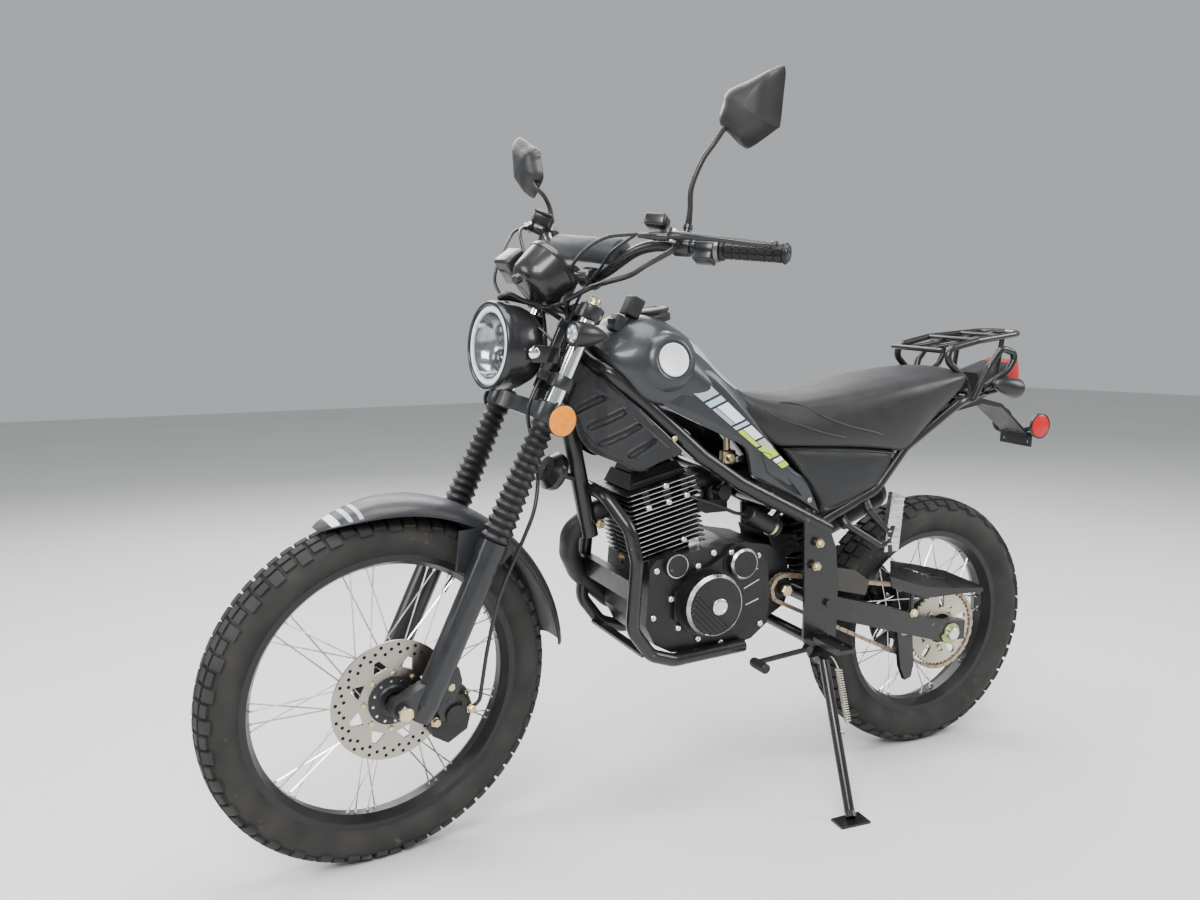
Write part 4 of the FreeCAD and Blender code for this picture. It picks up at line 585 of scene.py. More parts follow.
pins = chain_line()
links = []
roller_profile = [(0, -7.6), (1.9, -7.6), (1.9, -4), (3.9, -4), (3.9, 4), (1.9, 4), (1.9, 7.6), (0, 7.6)]
end_round = np.radians((90, 130, 180, 230, 270))
for k, (start, end) in enumerate(zip(pins[:-1], pins[1:])):
    run = unit(end - start)
    lift = np.array([-run[1], run[0]])
    half_round = 4.4 * (np.cos(end_round)[:, None] * run + np.sin(end_round)[:, None] * lift)
    outline = np.concatenate([start + half_round, end - half_round])
    near = 4.0 if k % 2 else 5.8
    for side in (1, -1):
        faces_y = CHAIN_PLANE + side * np.array([near, near + 1.6])[:, None]
        links.append(np.stack([np.broadcast_to(outline[:, 0], (2, 10)), np.broadcast_to(faces_y, (2, 10)),
                               np.broadcast_to(outline[:, 1], (2, 10))], axis=-1))
    links.append(spun(roller_profile, (start[0], CHAIN_PLANE, start[1]), (0, 1, 0), 6))
chain = piece("chain_links", placed(bike, *links), chain_steel, "frame", crease=30)
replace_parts(chain, "chain")


def coil(start, end, radius, wire, turns, around=8):
    """A spring: wire swept along a screw line round the axis from start to end."""
    start, axis = np.asarray(start, float), np.subtract(end, start)
    side = unit(np.cross(axis, (0.1, 0, 1) if abs(unit(axis)[2]) < 0.9 else (0, 1, 0)))
    t = np.linspace(0, 1, turns * 14 + 1)[:, None]
    a = 2 * math.pi * turns * t
    line = start + axis * t + radius * (np.cos(a) * side + np.sin(a) * np.cross(unit(axis), side))
    return swept(line, wire, around, 1, unit(axis))


piece("shock_spring", bike(coil((349, 0, 474), (396, 0, 628), 34, 4.6, 8)), engine_black, "frame", crease=60)
angle = np.linspace(0, 2 * math.pi, 40, endpoint=False)
snail_radius = 21 + 9 * angle / (2 * math.pi)
snail = slab(np.stack([snail_radius * np.cos(angle), 312 + snail_radius * np.sin(angle)], axis=-1), 118.6, 124, 0.8)
snail_brass = finish("snail_brass", (0.36, 0.40, 0.18), 0.38, metal=0.9, mottle=0.2, grain=800, relief=0.1)
piece("chain_adjusters", left_and_right(bike, snail), snail_brass, "frame")
rear_nut = spun([(0, 124), (16, 124), (16, 133), (13.5, 135), (0, 135)], (0, 0, 312), (0, 1, 0), 6)
piece("rear_axle_nuts", left_and_right(bike, rear_nut), bolt_zinc, "frame")
ARM_COVER = ((395, 514), (383, 518), (299, 500), (257, 470), (265, 437), (392, 469))
arm_grey = finish("arm_grey", (0.040, 0.038, 0.034), 0.55, mottle=0.15, grain=500, relief=0.15)
piece("arm_cover", bike(slab(ARM_COVER, 116.5, 121.5, 1.6)), arm_grey, "frame")
arm_bolts = studs(plated_bolt, ((120, 119, 376), (104, 108, 332), (134, 108, 330)), 6)
piece("arm_bolts", placed(bike, *arm_bolts), zinc_gold, "frame")

# Foot gear and side stand: alloy passenger pegs folded up on their stays, a ribbed rubber on the shift
# lever, and the stand's tension spring hooked from its eye to a pin on the leg.
peg_low = np.array([(195.4, 123.4, 539.4), (236.6, 123.4, 539.4), (236.6, 140.6, 539.4), (195.4, 140.6, 539.4)])
peg_high = np.array([(185.4, 125.4, 664.6), (220.6, 125.4, 676.6), (220.6, 138.6, 676.6), (185.4, 138.6, 664.6)])
share = np.array([0, 0.02, 0.98, 1])[:, None, None]
drawn_in = np.array([0.9, 1, 1, 0.9])[:, None, None]
peg_rows = peg_low * (1 - share) + peg_high * share
peg_rows = peg_rows.mean(axis=1, keepdims=True) + (peg_rows - peg_rows.mean(axis=1, keepdims=True)) * drawn_in
teeth = []
for t in np.linspace(0.14, 0.92, 8):
    middle = (peg_low.mean(axis=0) * (1 - t) + peg_high.mean(axis=0) * t)[[0, 2]]
    tooth = [(middle[0] + dx, middle[1] + dz) for dx, dz in ((-17, -2.4), (17, -0.8), (17, 2.4), (-17, 0.8))]
    teeth.append(slab(tooth, 138, 143.4, 0.8))
piece("passenger_peg_treads", left_and_right(bike, peg_rows, *teeth), machined, "frame", crease=30)
rings = [(11.4 if k % 3 else 10.2, 4 + 3.0 * k) for k in range(14)]
shift_rubber = spun([(0, 0), (9, 0), (11, 2), *rings, (11, 47), (9, 49), (0, 49)], (572, 131, 328), (0, 1, 0), 24)
piece("shift_rubber", bike(shift_rubber), gaiter_rubber, "frame", crease=30)
STAND_PIVOT = np.array([392, 138, 320.0])
stand_leg = np.array([45, 173, -285.0])
spring_off = np.array([-21, 19, 5])
spring_top = STAND_PIVOT + 0.10 * stand_leg + spring_off
spring_end = STAND_PIVOT + 0.44 * stand_leg + spring_off
pin_foot = STAND_PIVOT + 0.50 * stand_leg
hooks = [swept((STAND_PIVOT + (-8, 6, -4), STAND_PIVOT + (-14, 16, -4), spring_top), 1.8, 8),
         swept((spring_end, spring_end + 0.04 * stand_leg, pin_foot + 0.6 * spring_off, pin_foot), 1.8, 8)]
pin = spun([(0, -14), (4, -14), (4, 14), (6, 15), (6, 18), (0, 18)], pin_foot, spring_off, 14)
spring = coil(spring_top, spring_end, 6.6, 1.5, 22, 6)
piece("stand_spring", placed(bike, spring, *hooks, pin), sprocket_steel, "side_stand", crease=60)

# Fuel tank: pressed steel painted charcoal, with a broad shoulder on each side, a filler cap on top, a
# round bare badge on a dished boss each side, and a silver strip of film along the shoulder.
tank_grey = finish("tank_grey", (0.030, 0.032, 0.036), 0.36, metal=0.2, mottle=0.08, blotch=2, grain=1600,
                   relief=0.03, gloss=0.25)
plastic_black = finish("plastic_black", (0.016, 0.0165, 0.018), 0.44, mottle=0.1, grain=900, relief=0.12)
badge_silver = finish("badge_silver", (0.74, 0.75, 0.76), 0.42, metal=0.25, mottle=0.04, grain=900, relief=0.03)


def mirrored(half):
    """A half outline (half width, height) from the middle of the belly to the middle of the back, closed
    on the other side."""
    half = np.asarray(half, float)
    return np.concatenate([half, half[-2:0:-1] * (-1, 1)])


def lofted(stations, around=6, along=6):
    """A closed skin through outlines set at stations along the bike: smooth round each outline and
    smooth from one to the next, drawn to a point at both ends."""
    rings = np.array([[(x, y, z) for y, z in mirrored(half)] for x, half in stations])
    fine = np.swapaxes(spline(np.swapaxes(rings, 0, 1), around, closed=True), 0, 1)
    fine = spline(fine, along)
    tips = np.broadcast_to(fine[[0, -1]].mean(axis=1, keepdims=True), (2,) + fine.shape[1:])
    return np.concatenate([tips[:1], fine, tips[1:]])


tank_stations = (
    # place along the bike, half outline from belly to back
    (912, ((0, 985), (40, 982), (66, 984), (72, 990), (64, 1000), (30, 1008), (0, 1010))),
    (900, ((0, 972), (50, 964), (84, 968), (92, 982), (82, 1004), (44, 1022), (0, 1026))),
    (876, ((0, 962), (56, 946), (98, 946), (108, 972), (98, 1008), (56, 1044), (0, 1050))),
    (840, ((0, 950), (60, 918), (108, 908), (121, 960), (112, 1012), (66, 1060), (0, 1070))),
    (795, ((0, 930), (60, 900), (112, 893), (128, 955), (122, 1006), (72, 1058), (0, 1072))),
    (745, ((0, 910), (60, 884), (112, 878), (129, 935), (122, 985), (70, 1036), (0, 1054))),
    (695, ((0, 890), (56, 866), (106, 862), (124, 910), (116, 952), (66, 1004), (0, 1022))),
    (645, ((0, 872), (50, 850), (98, 846), (114, 884), (106, 918), (58, 958), (0, 974))),
    (590, ((0, 860), (44, 842), (84, 838), (98, 866), (90, 892), (48, 918), (0, 928))),
)
tank_grid = lofted(tank_stations)
tank = piece("tank_shell", bike(tank_grid), tank_grey, "frame", crease=50)
filler_profile = [(0, -10), (46, -10), (47, 2), (43, 5), (42, 8), (45, 10), (45, 15), (42, 17), (30, 18), (28, 16),
                  (0, 16)]
piece("tank_cap", bike(spun(filler_profile, (778, 0, 1064), (0.16, 0, 1), 64)), plastic_black, "frame")
BADGE_AT = (787, 128, 985)
BADGE_AXIS = (-0.04, 1, 0.24)
boss = spun([(0, -20), (62, -20), (54, -5), (49, 0), (41, 2.5), (38.5, 1.2), (0, 1.6)], BADGE_AT, BADGE_AXIS, 64)
badge = spun([(0, 1), (33.5, 1), (33.5, 3.4), (31.5, 4), (30.5, 3.4), (0, 4.2)], BADGE_AT, BADGE_AXIS, 64)
piece("badge_bosses", left_and_right(bike, boss), tank_grey, "frame")
piece("badges", left_and_right(bike, badge), badge_silver, "frame")
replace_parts(tank, "fuel_tank")
STRIP_ROWS = slice(34, 50)
STRIP_LINES = slice(27, 31)
TANK_HEART = (0, 0, 900)
shoulder = tank_grid[STRIP_ROWS, STRIP_LINES]
shoulder_out = unit(shoulder * (0, 1, 1) - TANK_HEART)
strip = np.concatenate([shoulder + 0.7 * shoulder_out, (shoulder - 0.5 * shoulder_out)[:, ::-1]], axis=1)
stripe_silver = finish("stripe_silver", (0.36, 0.38, 0.41), 0.32, mottle=0.04, grain=900, relief=0.02, gloss=0.3)
piece("tank_strip", left_and_right(bike, strip), stripe_silver, "frame", crease=30)

# Side panels: moulded plastic. The scoop ahead of the tank has a raised field with four slanting
# louvres; the tail panel runs down to the footrest with a meshed vent and carries the stripes.
def between_edges(low_edge, high_edge, across, along=10):
    """A patch between two edge lines (x, z): smooth along each edge, straight from one to the other."""
    low, high = spline(low_edge, along), spline(high_edge, along)
    v = np.asarray(across)[None, :, None]
    return low[:, None] * (1 - v) + high[:, None] * v


def panel(field, face, thick):
    """A closed panel: the field's (x, z) points set out to the face's distance from the middle of the
    bike, and back in by the thickness, its end rows drawn together."""
    outer = np.stack([field[..., 0], face, field[..., 1]], axis=-1)
    inner = outer - (0, thick, 0)
    ring = np.concatenate([outer, inner[:, ::-1]], axis=1)
    ends = 0.5 * (ring + ring[:, ::-1])
    return np.concatenate([ends[:1], ring, ends[-1:]])


def soft_step(value, low, high):
    """0 below low, 1 above high, and a smooth S between them."""
    t = np.clip((value - low) / (high - low), 0, 1)
    return t * t * (3 - 2 * t)


scoop_low = ((990, 940), (989, 905), (962, 862), (950, 826), (930, 799), (888, 779), (846, 762), (800, 780),
             (757, 792))
scoop_high = ((962, 990), (948, 975), (925, 958), (904, 938), (880, 915), (850, 888), (818, 858), (785, 828),
              (754, 799))
scoop_bend = np.array([(740, 123), (840, 118), (880, 106), (912, 88), (930, 71), (945, 61), (962, 54), (995, 45)]).T
LOUVRES = (((962, 883), (921, 908)), ((937, 850), (885, 881)), ((919, 817), (855, 853)), ((868, 796), (823, 823)))
RAISED_FIELD = ((965, 940), (944, 940), (786, 808), (835, 776), (934, 818), (986, 890))
EDGE_FALL = 7.0
FIELD_RISE = 3.0
LOUVRE_HALF = 7.2
LOUVRE_DEPTH = 7.0
LIP_RISE = 1.6


def from_line(places, start, end):
    """Distance of places from the stretch between two ends: |p - s - t(e - s)|, t held from 0 to 1."""
    start, run = np.asarray(start, float), np.subtract(end, start)
    t = np.clip((places - start) @ run / (run @ run), 0, 1)
    return np.linalg.norm(places - start - t[..., None] * run, axis=-1)


def inside(places, outline):
    """How far places lie inside an outline without hollows: the least distance from its sides' lines."""
    start = np.asarray(outline, float)
    run = unit(np.roll(start, -1, axis=0) - start)
    inward = np.stack([-run[:, 1], run[:, 0]], axis=-1)
    return ((places[..., None, :] - start) * inward).sum(axis=-1).min(axis=-1)


across = np.concatenate([[0, 0.012, 0.04], np.linspace(0.07, 0.93, 71), [0.96, 0.988, 1]])
field = between_edges(scoop_low, scoop_high, across, 22)
u = np.linspace(0, 1, field.shape[0])[:, None]
v = across[None, :]
edge_round = -EDGE_FALL * (1 - soft_step(np.minimum(np.minimum(v, 1 - v) / 0.08, np.minimum(u, 1 - u) / 0.05), 0, 1))
raised = FIELD_RISE * soft_step(inside(field, RAISED_FIELD), 0, 3)
slot_distance = np.min([from_line(field, *line) for line in LOUVRES], axis=0)
lips = LIP_RISE * np.exp(-((slot_distance - LOUVRE_HALF - 0.8) / 2.0) ** 2)
louvres = lips - LOUVRE_DEPTH * soft_step(LOUVRE_HALF - slot_distance, 0, 3.2)
face = np.interp(field[..., 0], *scoop_bend) + edge_round + raised + louvres - 0.5
scoops = piece("tank_scoops", left_and_right(bike, panel(field, face, 12)), plastic_black, "frame", crease=35)

tail_low = ((800, 893), (760, 872), (712, 850), (652, 822), (603, 794), (586, 740), (560, 722), (480, 684),
            (404, 641))
tail_high = ((775, 958), (735, 965), (690, 958), (628, 903), (546, 811), (488, 748), (447, 722), (426, 694),
             (408, 648))
across = np.concatenate([[0, 0.02, 0.06], np.linspace(0.12, 0.88, 17), [0.94, 0.98, 1]])
field = between_edges(tail_low, tail_high, across, 14)
u = np.linspace(0, 1, field.shape[0])[:, None]
v = across[None, :]
edge_round = -5 * (1 - soft_step(np.minimum(v, 1 - v), 0, 0.10)) - 9 * (1 - soft_step(u, 0, 0.10))
face = 126 - 10 * soft_step(u, 0.55, 1) - 10 * soft_step(v, 0.4, 1.3) * (1 - u) + edge_round
piece("tail_panels", left_and_right(bike, panel(field, face, 10)), tank_grey, "frame", crease=35)
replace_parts(scoops, "side_panels")

STRIPE_LOW = ((766, 938), (512, 744))
STRIPE_HIGH = ((736, 964), (496, 760))
STRIPES = (
    # colour, start and end along the two lines, share of the width from the low line to the high one
    ("white", 0.00, 0.09, 0.0, 1.0), ("silver", 0.11, 0.20, 0.0, 1.0), ("pale_blue", 0.22, 0.27, 0.0, 1.0),
    ("white", 0.29, 0.47, 0.30, 1.0), ("silver", 0.29, 0.47, 0.0, 0.24), ("pale_blue", 0.49, 0.52, 0.0, 1.0),
    ("white", 0.54, 0.66, 0.36, 1.0), ("lime", 0.54, 0.72, 0.0, 0.30), ("silver", 0.68, 0.78, 0.36, 1.0),
    ("lime", 0.74, 0.86, 0.0, 0.9), ("white", 0.88, 0.92, 0.1, 0.9), ("lime", 0.93, 0.98, 0.1, 0.9),
)
STRIPE_SHADES = {"white": (0.74, 0.75, 0.75), "pale_blue": (0.38, 0.52, 0.62), "lime": (0.42, 0.60, 0.05)}
STRIPE_SLANT = 0.045


def laid_on(skin, places, lift=0.5):
    """(x, z) places set on the left side of a skin: y is the mean of the skin's four nearest points, each
    weighed by the inverse square of its distance, and a little more to lie clear of it."""
    skin = skin.reshape(-1, 3)
    skin = skin[skin[:, 1] > 20]
    flat = places.reshape(-1, 2)
    away = np.linalg.norm(skin[None][..., [0, 2]] - flat[:, None], axis=-1)
    nearest = np.argsort(away, axis=1)[:, :4]
    weight = 1 / (np.take_along_axis(away, nearest, axis=1) ** 2 + 0.05)
    y = (skin[nearest, 1] * weight).sum(axis=1) / weight.sum(axis=1) + lift
    return np.stack([flat[:, 0], y, flat[:, 1]], axis=-1).reshape(places.shape[:-1] + (3,))


def stripe(start, end, low_share, high_share):
    """One stripe: straight between the low and high lines, its ends slanted, laid just clear of the panel
    and given a back that is sunk into it."""
    t = np.linspace(start, end, 10)[:, None, None] + STRIPE_SLANT * np.linspace(low_share, high_share, 7)[:, None]
    share = np.linspace(low_share, high_share, 7)[None, :, None]
    low = np.array(STRIPE_LOW[0]) + t * np.subtract(STRIPE_LOW[1], STRIPE_LOW[0])
    high = np.array(STRIPE_HIGH[0]) + t * np.subtract(STRIPE_HIGH[1], STRIPE_HIGH[0])
    front = laid_on(tail_skin, low * (1 - share) + high * share, 1.1)
    return np.concatenate([front, front[:, ::-1] - (0, 2.2, 0)], axis=1)


tail_skin = np.stack([field[..., 0], face, field[..., 1]], axis=-1)
vinyls = {name: finish("stripe_" + name, shade, 0.3, mottle=0.04, grain=900, relief=0.02, gloss=0.3)
          for name, shade in STRIPE_SHADES.items()}
vinyls["silver"] = stripe_silver
for colour, vinyl in vinyls.items():
    patches = [stripe(*row[1:]) for row in STRIPES if row[0] == colour]
    piece("stripes_" + colour, left_and_right(bike, *patches), vinyl, "frame", crease=30)

# Panel fittings: a dark mesh let into the tail panel's window and framed by a rounded plastic rim, and
# plated domed screws that hold the panels.
MESH_WINDOW = ((570, 788), (552, 742), (474, 690), (455, 684), (548, 782))
mesh_dark = finish("mesh_dark", (0.006, 0.006, 0.007), 0.6, mottle=0.3, blotch=220, grain=900, relief=0.6)
window_front = laid_on(tail_skin, np.array(MESH_WINDOW, float), 0.4)
window = np.stack([window_front - (0, 2, 0), window_front])
piece("vent_mesh", left_and_right(bike, window), mesh_dark, "frame")
vent_rim = laid_on(tail_skin, np.array(MESH_WINDOW + MESH_WINDOW[:1], float), 0.4)
piece("panel_rims", left_and_right(bike, swept(vent_rim, 1.3, 8, 1, (0, 1, 0.05))), plastic_black, "frame")
screw_profile = [(0, -3), (6, -3), (6, 2), (4, 3.6), (2, 3.2), (0, 3.2)]
tail_screws = laid_on(tail_skin, np.array(((433, 671), (790, 925)), float), 0)
screws = studs(screw_profile, (*tail_screws, (776, 121, 826)), 20)
piece("panel_screws", left_and_right(bike, *screws), zinc_gold, "frame")

# Seat: one long padded saddle, black vinyl stretched over foam, with a sewn side panel whose piped
# seam sweeps down and back, and a side cover below it bound with the same piping.
seat_vinyl = finish("seat_vinyl", (0.015, 0.015, 0.016), 0.40, mottle=0.12, grain=420, relief=0.3, sheen=0.05)
seat_stations = (
    # place, half outline: sole, lower side, side, shoulder, crown
    (634, ((0, 905), (30, 902), (48, 904), (54, 916), (46, 930), (24, 938), (0, 940))),
    (606, ((0, 876), (50, 868), (80, 868), (88, 890), (76, 914), (40, 926), (0, 930))),
    (570, ((0, 836), (70, 828), (100, 830), (106, 862), (88, 894), (46, 906), (0, 909))),
    (520, ((0, 804), (80, 798), (114, 800), (120, 842), (98, 880), (52, 893), (0, 897))),
    (460, ((0, 800), (90, 794), (124, 796), (128, 838), (104, 878), (56, 890), (0, 893))),
    (390, ((0, 798), (90, 790), (128, 792), (133, 838), (112, 882), (60, 896), (0, 898))),
    (310, ((0, 794), (90, 786), (130, 787), (136, 842), (120, 890), (68, 907), (0, 910))),
    (230, ((0, 786), (90, 778), (128, 779), (136, 850), (124, 902), (72, 920), (0, 924))),
    (176, ((0, 782), (90, 772), (124, 773), (134, 858), (124, 910), (72, 928), (0, 933))),
    (140, ((0, 812), (88, 800), (122, 800), (132, 870), (122, 915), (72, 933), (0, 938))),
    (90, ((0, 848), (84, 836), (116, 838), (126, 886), (118, 922), (70, 938), (0, 943))),
    (40, ((0, 884), (80, 872), (110, 874), (118, 904), (112, 928), (66, 941), (0, 945))),
    (4, ((0, 908), (74, 898), (102, 900), (110, 918), (104, 932), (62, 941), (0, 944))),
    (-20, ((0, 922), (60, 914), (86, 916), (92, 925), (86, 932), (52, 938), (0, 940))),
)
seat_grid = lofted(seat_stations, 8, 8)
seat = piece("seat_saddle", bike(seat_grid), seat_vinyl, "frame", crease=60)
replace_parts(seat, "seat")

cover_low = ((452, 728), (430, 700), (407, 669), (389, 639), (330, 653), (280, 671), (237, 690))
cover_high = ((506, 789), (455, 789), (400, 787), (350, 783), (300, 779), (250, 774), (203, 765))
across = np.concatenate([[0, 0.02, 0.05, 0.08], np.linspace(0.14, 0.86, 13), [0.92, 0.95, 0.98, 1]])
field = between_edges(cover_low, cover_high, across, 8)
u = np.linspace(0, 1, field.shape[0])[:, None]
v = across[None, :]
inset = np.minimum(np.minimum(v, 1 - v) / 0.16, np.minimum(u, 1 - u) / 0.10)
face = 116 + 5 * soft_step(inset, 0, 0.3) - 3 * np.exp(-((inset - 0.5) / 0.12) ** 2) + 4 * soft_step(inset, 0.5, 2.5)
covers = piece("side_covers_trim", left_and_right(bike, panel(field, face, 14)), plastic_black, "frame", crease=40)
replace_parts(covers, "side_covers")
SEAMS = (((548, 872), (500, 884), (455, 878), (416, 856), (349, 832), (268, 812), (218, 792), (190, 784)),
         ((545, 868), (512, 850), (470, 838), (420, 822), (360, 808), (300, 800)))
seam_lines = [spline(laid_on(seat_grid, np.array(line, float), -0.6), 6) for line in SEAMS]
seams = [swept(line, 2.2, 10, 1, (0, 1, 0.05)) for line in seam_lines]
piece("seat_seams", left_and_right(bike, *seams), seat_vinyl, "frame", crease=60)
cover_skin = np.stack([field[..., 0], face, field[..., 1]], axis=-1)
PIPING = ((492, 782), (350, 778), (214, 762), (204, 754), (240, 694), (386, 645), (402, 668), (440, 722), (492, 782))
piping = swept(laid_on(cover_skin, spline(np.array(PIPING, float), 6), -0.4), 1.6, 8, 1, (0, 1, 0.05))
piece("cover_piping", left_and_right(bike, piping), seat_vinyl, "frame")

# Front mudguard: a crowned plastic strip, wide behind its beak, that follows the tyre. It hangs from
# moulded legs bolted inside the fork, and its beak carries three bands of coloured film.
fender_black = finish("fender_black", (0.020, 0.021, 0.024), 0.44, mottle=0.08, grain=1200, relief=0.03, gloss=0.08)
fender_stations = np.array((
    # radius, angle round the axle in degrees, half width, drop of its sides
    (364, 45, 16, 3), (367, 48, 30, 6), (374, 55, 46, 14), (383, 64, 58, 22), (388, 76, 64, 26), (389, 88, 66, 27),
    (389, 100, 66, 27), (389, 112, 66, 27), (389, 124, 64, 26), (390, 136, 60, 24), (391, 147, 54, 20),
    (392, 150, 46, 17)))
profile = np.array(((-1, 1.0), (-0.96, 0.72), (-0.80, 0.36), (-0.52, 0.10), (-0.2, 0.01), (0.2, 0.01), (0.52, 0.10),
                    (0.80, 0.36), (0.96, 0.72), (1, 1.0)))
stations = spline(fender_stations, 6)
radius, angle, half, drop = (stations[:, k, None] for k in range(4))
outer_profile = spline(profile, 5)
side, fall = outer_profile[:, 0], outer_profile[:, 1]
outer_side, outer_radius = half * side, radius - drop * fall
inner_side, inner_radius = (half - 3.2) * side, radius - drop * fall - 3.2 * (1 - 0.6 * np.abs(side))
rim_side = np.concatenate([outer_side, inner_side[:, ::-1]], axis=1)
rim_radius = np.concatenate([outer_radius, inner_radius[:, ::-1]], axis=1)
turn_angle = np.radians(angle)
guard = np.stack([rim_radius * np.cos(turn_angle), rim_side, rim_radius * np.sin(turn_angle)], axis=-1)
mudguard = piece("front_mudguard", fork(FRONT_AXLE + guard), fender_black, "steering", crease=50)
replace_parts(mudguard, "front_fender")

LEG = ((2, 270), (66, 270), (95, 345), (62, 362), (-38, 350), (-28, 320))
piece("mudguard_legs", left_and_right(fork, slab(LEG, 61, 67)), fender_black, "steering")
BEAK = ((48.5, 51.0, "white"), (53.0, 54.5, "pale_blue"), (56.0, 57.5, "silver"))
for low_angle, high_angle, colour in BEAK:
    rows = (angle[:, 0] > low_angle - 0.7) & (angle[:, 0] < high_angle + 0.7)
    top = outer_radius[rows][:, 6:-6] + 0.4
    film = np.concatenate([top, top[:, ::-1] - 1.2], axis=1)
    film_side = np.concatenate([outer_side[rows][:, 6:-6], outer_side[rows][:, 6:-6][:, ::-1]], axis=1)
    beak_angle = np.clip(turn_angle[rows], math.radians(low_angle), math.radians(high_angle))
    band = np.stack([film * np.cos(beak_angle), film_side, film * np.sin(beak_angle)], axis=-1)
    piece("beak_band_" + colour, fork(FRONT_AXLE + band), vinyls[colour], "steering", crease=30)

# Headlight: a deep pressed bowl in satin black, hung between the fork tubes on two bright bolts. Behind
# the clear cover a pale ring surrounds a dark mirror with one projector above the other.
LAMP = np.array([156, 0, 693.0])
LAMP_AXIS = unit((0.94, 0, -0.342))
lamp_black = finish("lamp_black", (0.010, 0.010, 0.011), 0.30, mottle=0.12, grain=1100, relief=0.03, gloss=0.25)
halo_white = finish("halo_white", (0.70, 0.76, 0.82), 0.32, mottle=0.04, grain=900, relief=0.02, gloss=0.6)
mirror_grey = finish("mirror_grey", (0.32, 0.34, 0.36), 0.16, metal=1.0, mottle=0.2, blotch=40, grain=400,
                     relief=0.02)
lens_dark = finish("lens_dark", (0.03, 0.035, 0.04), 0.05, mottle=0.3, grain=900, relief=0.01, gloss=1.0)
zinc = finish("zinc", (0.62, 0.60, 0.55), 0.30, metal=1.0, mottle=0.12, grain=900, relief=0.04)
lamp_back = spline(((0, -104), (30, -102), (54, -93), (70, -78), (80, -56), (83.5, -30), (84, -15)), 5)
lamp_lip = ((86, -14), (86.5, -9), (86.5, -1), (84, 3), (79, 3.5), (77.5, 1), (77, -30), (50, -52), (0, -56))
bowl = piece("headlight_bowl", fork(spun(np.concatenate([lamp_back, lamp_lip]), LAMP, LAMP_AXIS, 72)), lamp_black,
             "steering")
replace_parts(bowl, "headlight")
halo = [(64, -9), (76.5, -9), (76.5, -1), (73, 1.5), (67, 1), (64, -2)]
piece("headlight_halo", fork(spun(halo, LAMP, LAMP_AXIS, 72)), halo_white, "steering")
hollow = [(64, -3), (62, -12), (54, -28), (36, -40), (0, -46), (0, -50), (40, -44), (60, -30), (66, -12), (66, -3)]
piece("headlight_mirror", fork(spun(hollow, LAMP, LAMP_AXIS, 72)), mirror_grey, "steering")
lamp_up = np.cross(LAMP_AXIS, (0, 1, 0))
bulge = [(0, -16), (12, -17), (18, -21), (20, -26), (23, -27), (24, -31), (22, -46), (0, -46)]
projectors = studs(bulge, (LAMP + 27 * lamp_up, LAMP - 27 * lamp_up), 32, LAMP_AXIS)
piece("headlight_projectors", placed(fork, *projectors), lens_dark, "steering")
cover_glass = bpy.data.materials.new("cover_glass")
cover_glass.use_nodes = True
glass_shader = cover_glass.node_tree.nodes["Principled BSDF"]
for socket, value in (("Base Color", (1, 1, 1, 1)), ("Roughness", 0.02), ("IOR", 1.12), ("Transmission Weight", 1.0)):
    glass_shader.inputs[socket].default_value = value
pane = [(0, 5), (40, 4), (64, 1.5), (76.5, -1.5), (76.5, -3.2), (63, -0.2), (40, 2.2), (0, 3.2)]
glass = piece("headlight_glass", fork(spun(pane, LAMP, LAMP_AXIS, 72)), cover_glass, "steering")
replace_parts(glass, "headlight_lens")


def rounded_box(centre, half, axes=((1, 0, 0), (0, 1, 0), (0, 0, 1)), corner=4.0):
    """A box with rounded edges and corners: a rectangle of quarter circles, drawn in along a quarter
    circle at both ends."""
    centre, half = np.asarray(centre, float), np.asarray(half, float) - corner
    around = np.radians(np.tile([0, 30, 60, 90], 4) + np.repeat([0, 90, 180, 270], 4))
    side_x, side_y = np.repeat([1, -1, -1, 1], 4), np.repeat([1, 1, -1, -1], 4)
    tip = np.radians([90, 60, 30, 0])
    drawn = corner * np.cos(np.concatenate([tip, tip[::-1]]))[:, None]
    rise = np.concatenate([-half[2] - corner * np.sin(tip), half[2] + corner * np.sin(tip[::-1])])[:, None]
    x = side_x * half[0] + drawn * np.cos(around)
    y = side_y * half[1] + drawn * np.sin(around)
    return centre + np.stack([x, y, np.broadcast_to(rise, x.shape)], axis=-1) @ np.asarray(axes, float)


bolt_head = [(0, -14), (7, -14), (7, 0), (12, 0), (12, 5), (9, 8), (0, 9)]
lamp_bolt = spun(bolt_head, LAMP - LAMP_AXIS * 50 + (0, 86, 0), (0, 1, 0), 24)
piece("headlight_bolts", left_and_right(fork, lamp_bolt), hard_chrome, "steering")
bracket = rounded_box((84, 90, 717), (30, 2.6, 17), (LAMP_AXIS, (0, 1, 0), lamp_up), 2.5)
arms = [rounded_box((x, 90, z), half, corner=2.5)
        for x, z, half in ((66, 681, (20, 2.6, 10)), (66, 783, (20, 2.6, 10)), (72, 732, (9, 2.6, 60)))]
piece("headlight_brackets", left_and_right(fork, bracket, *arms), lamp_black, "steering")

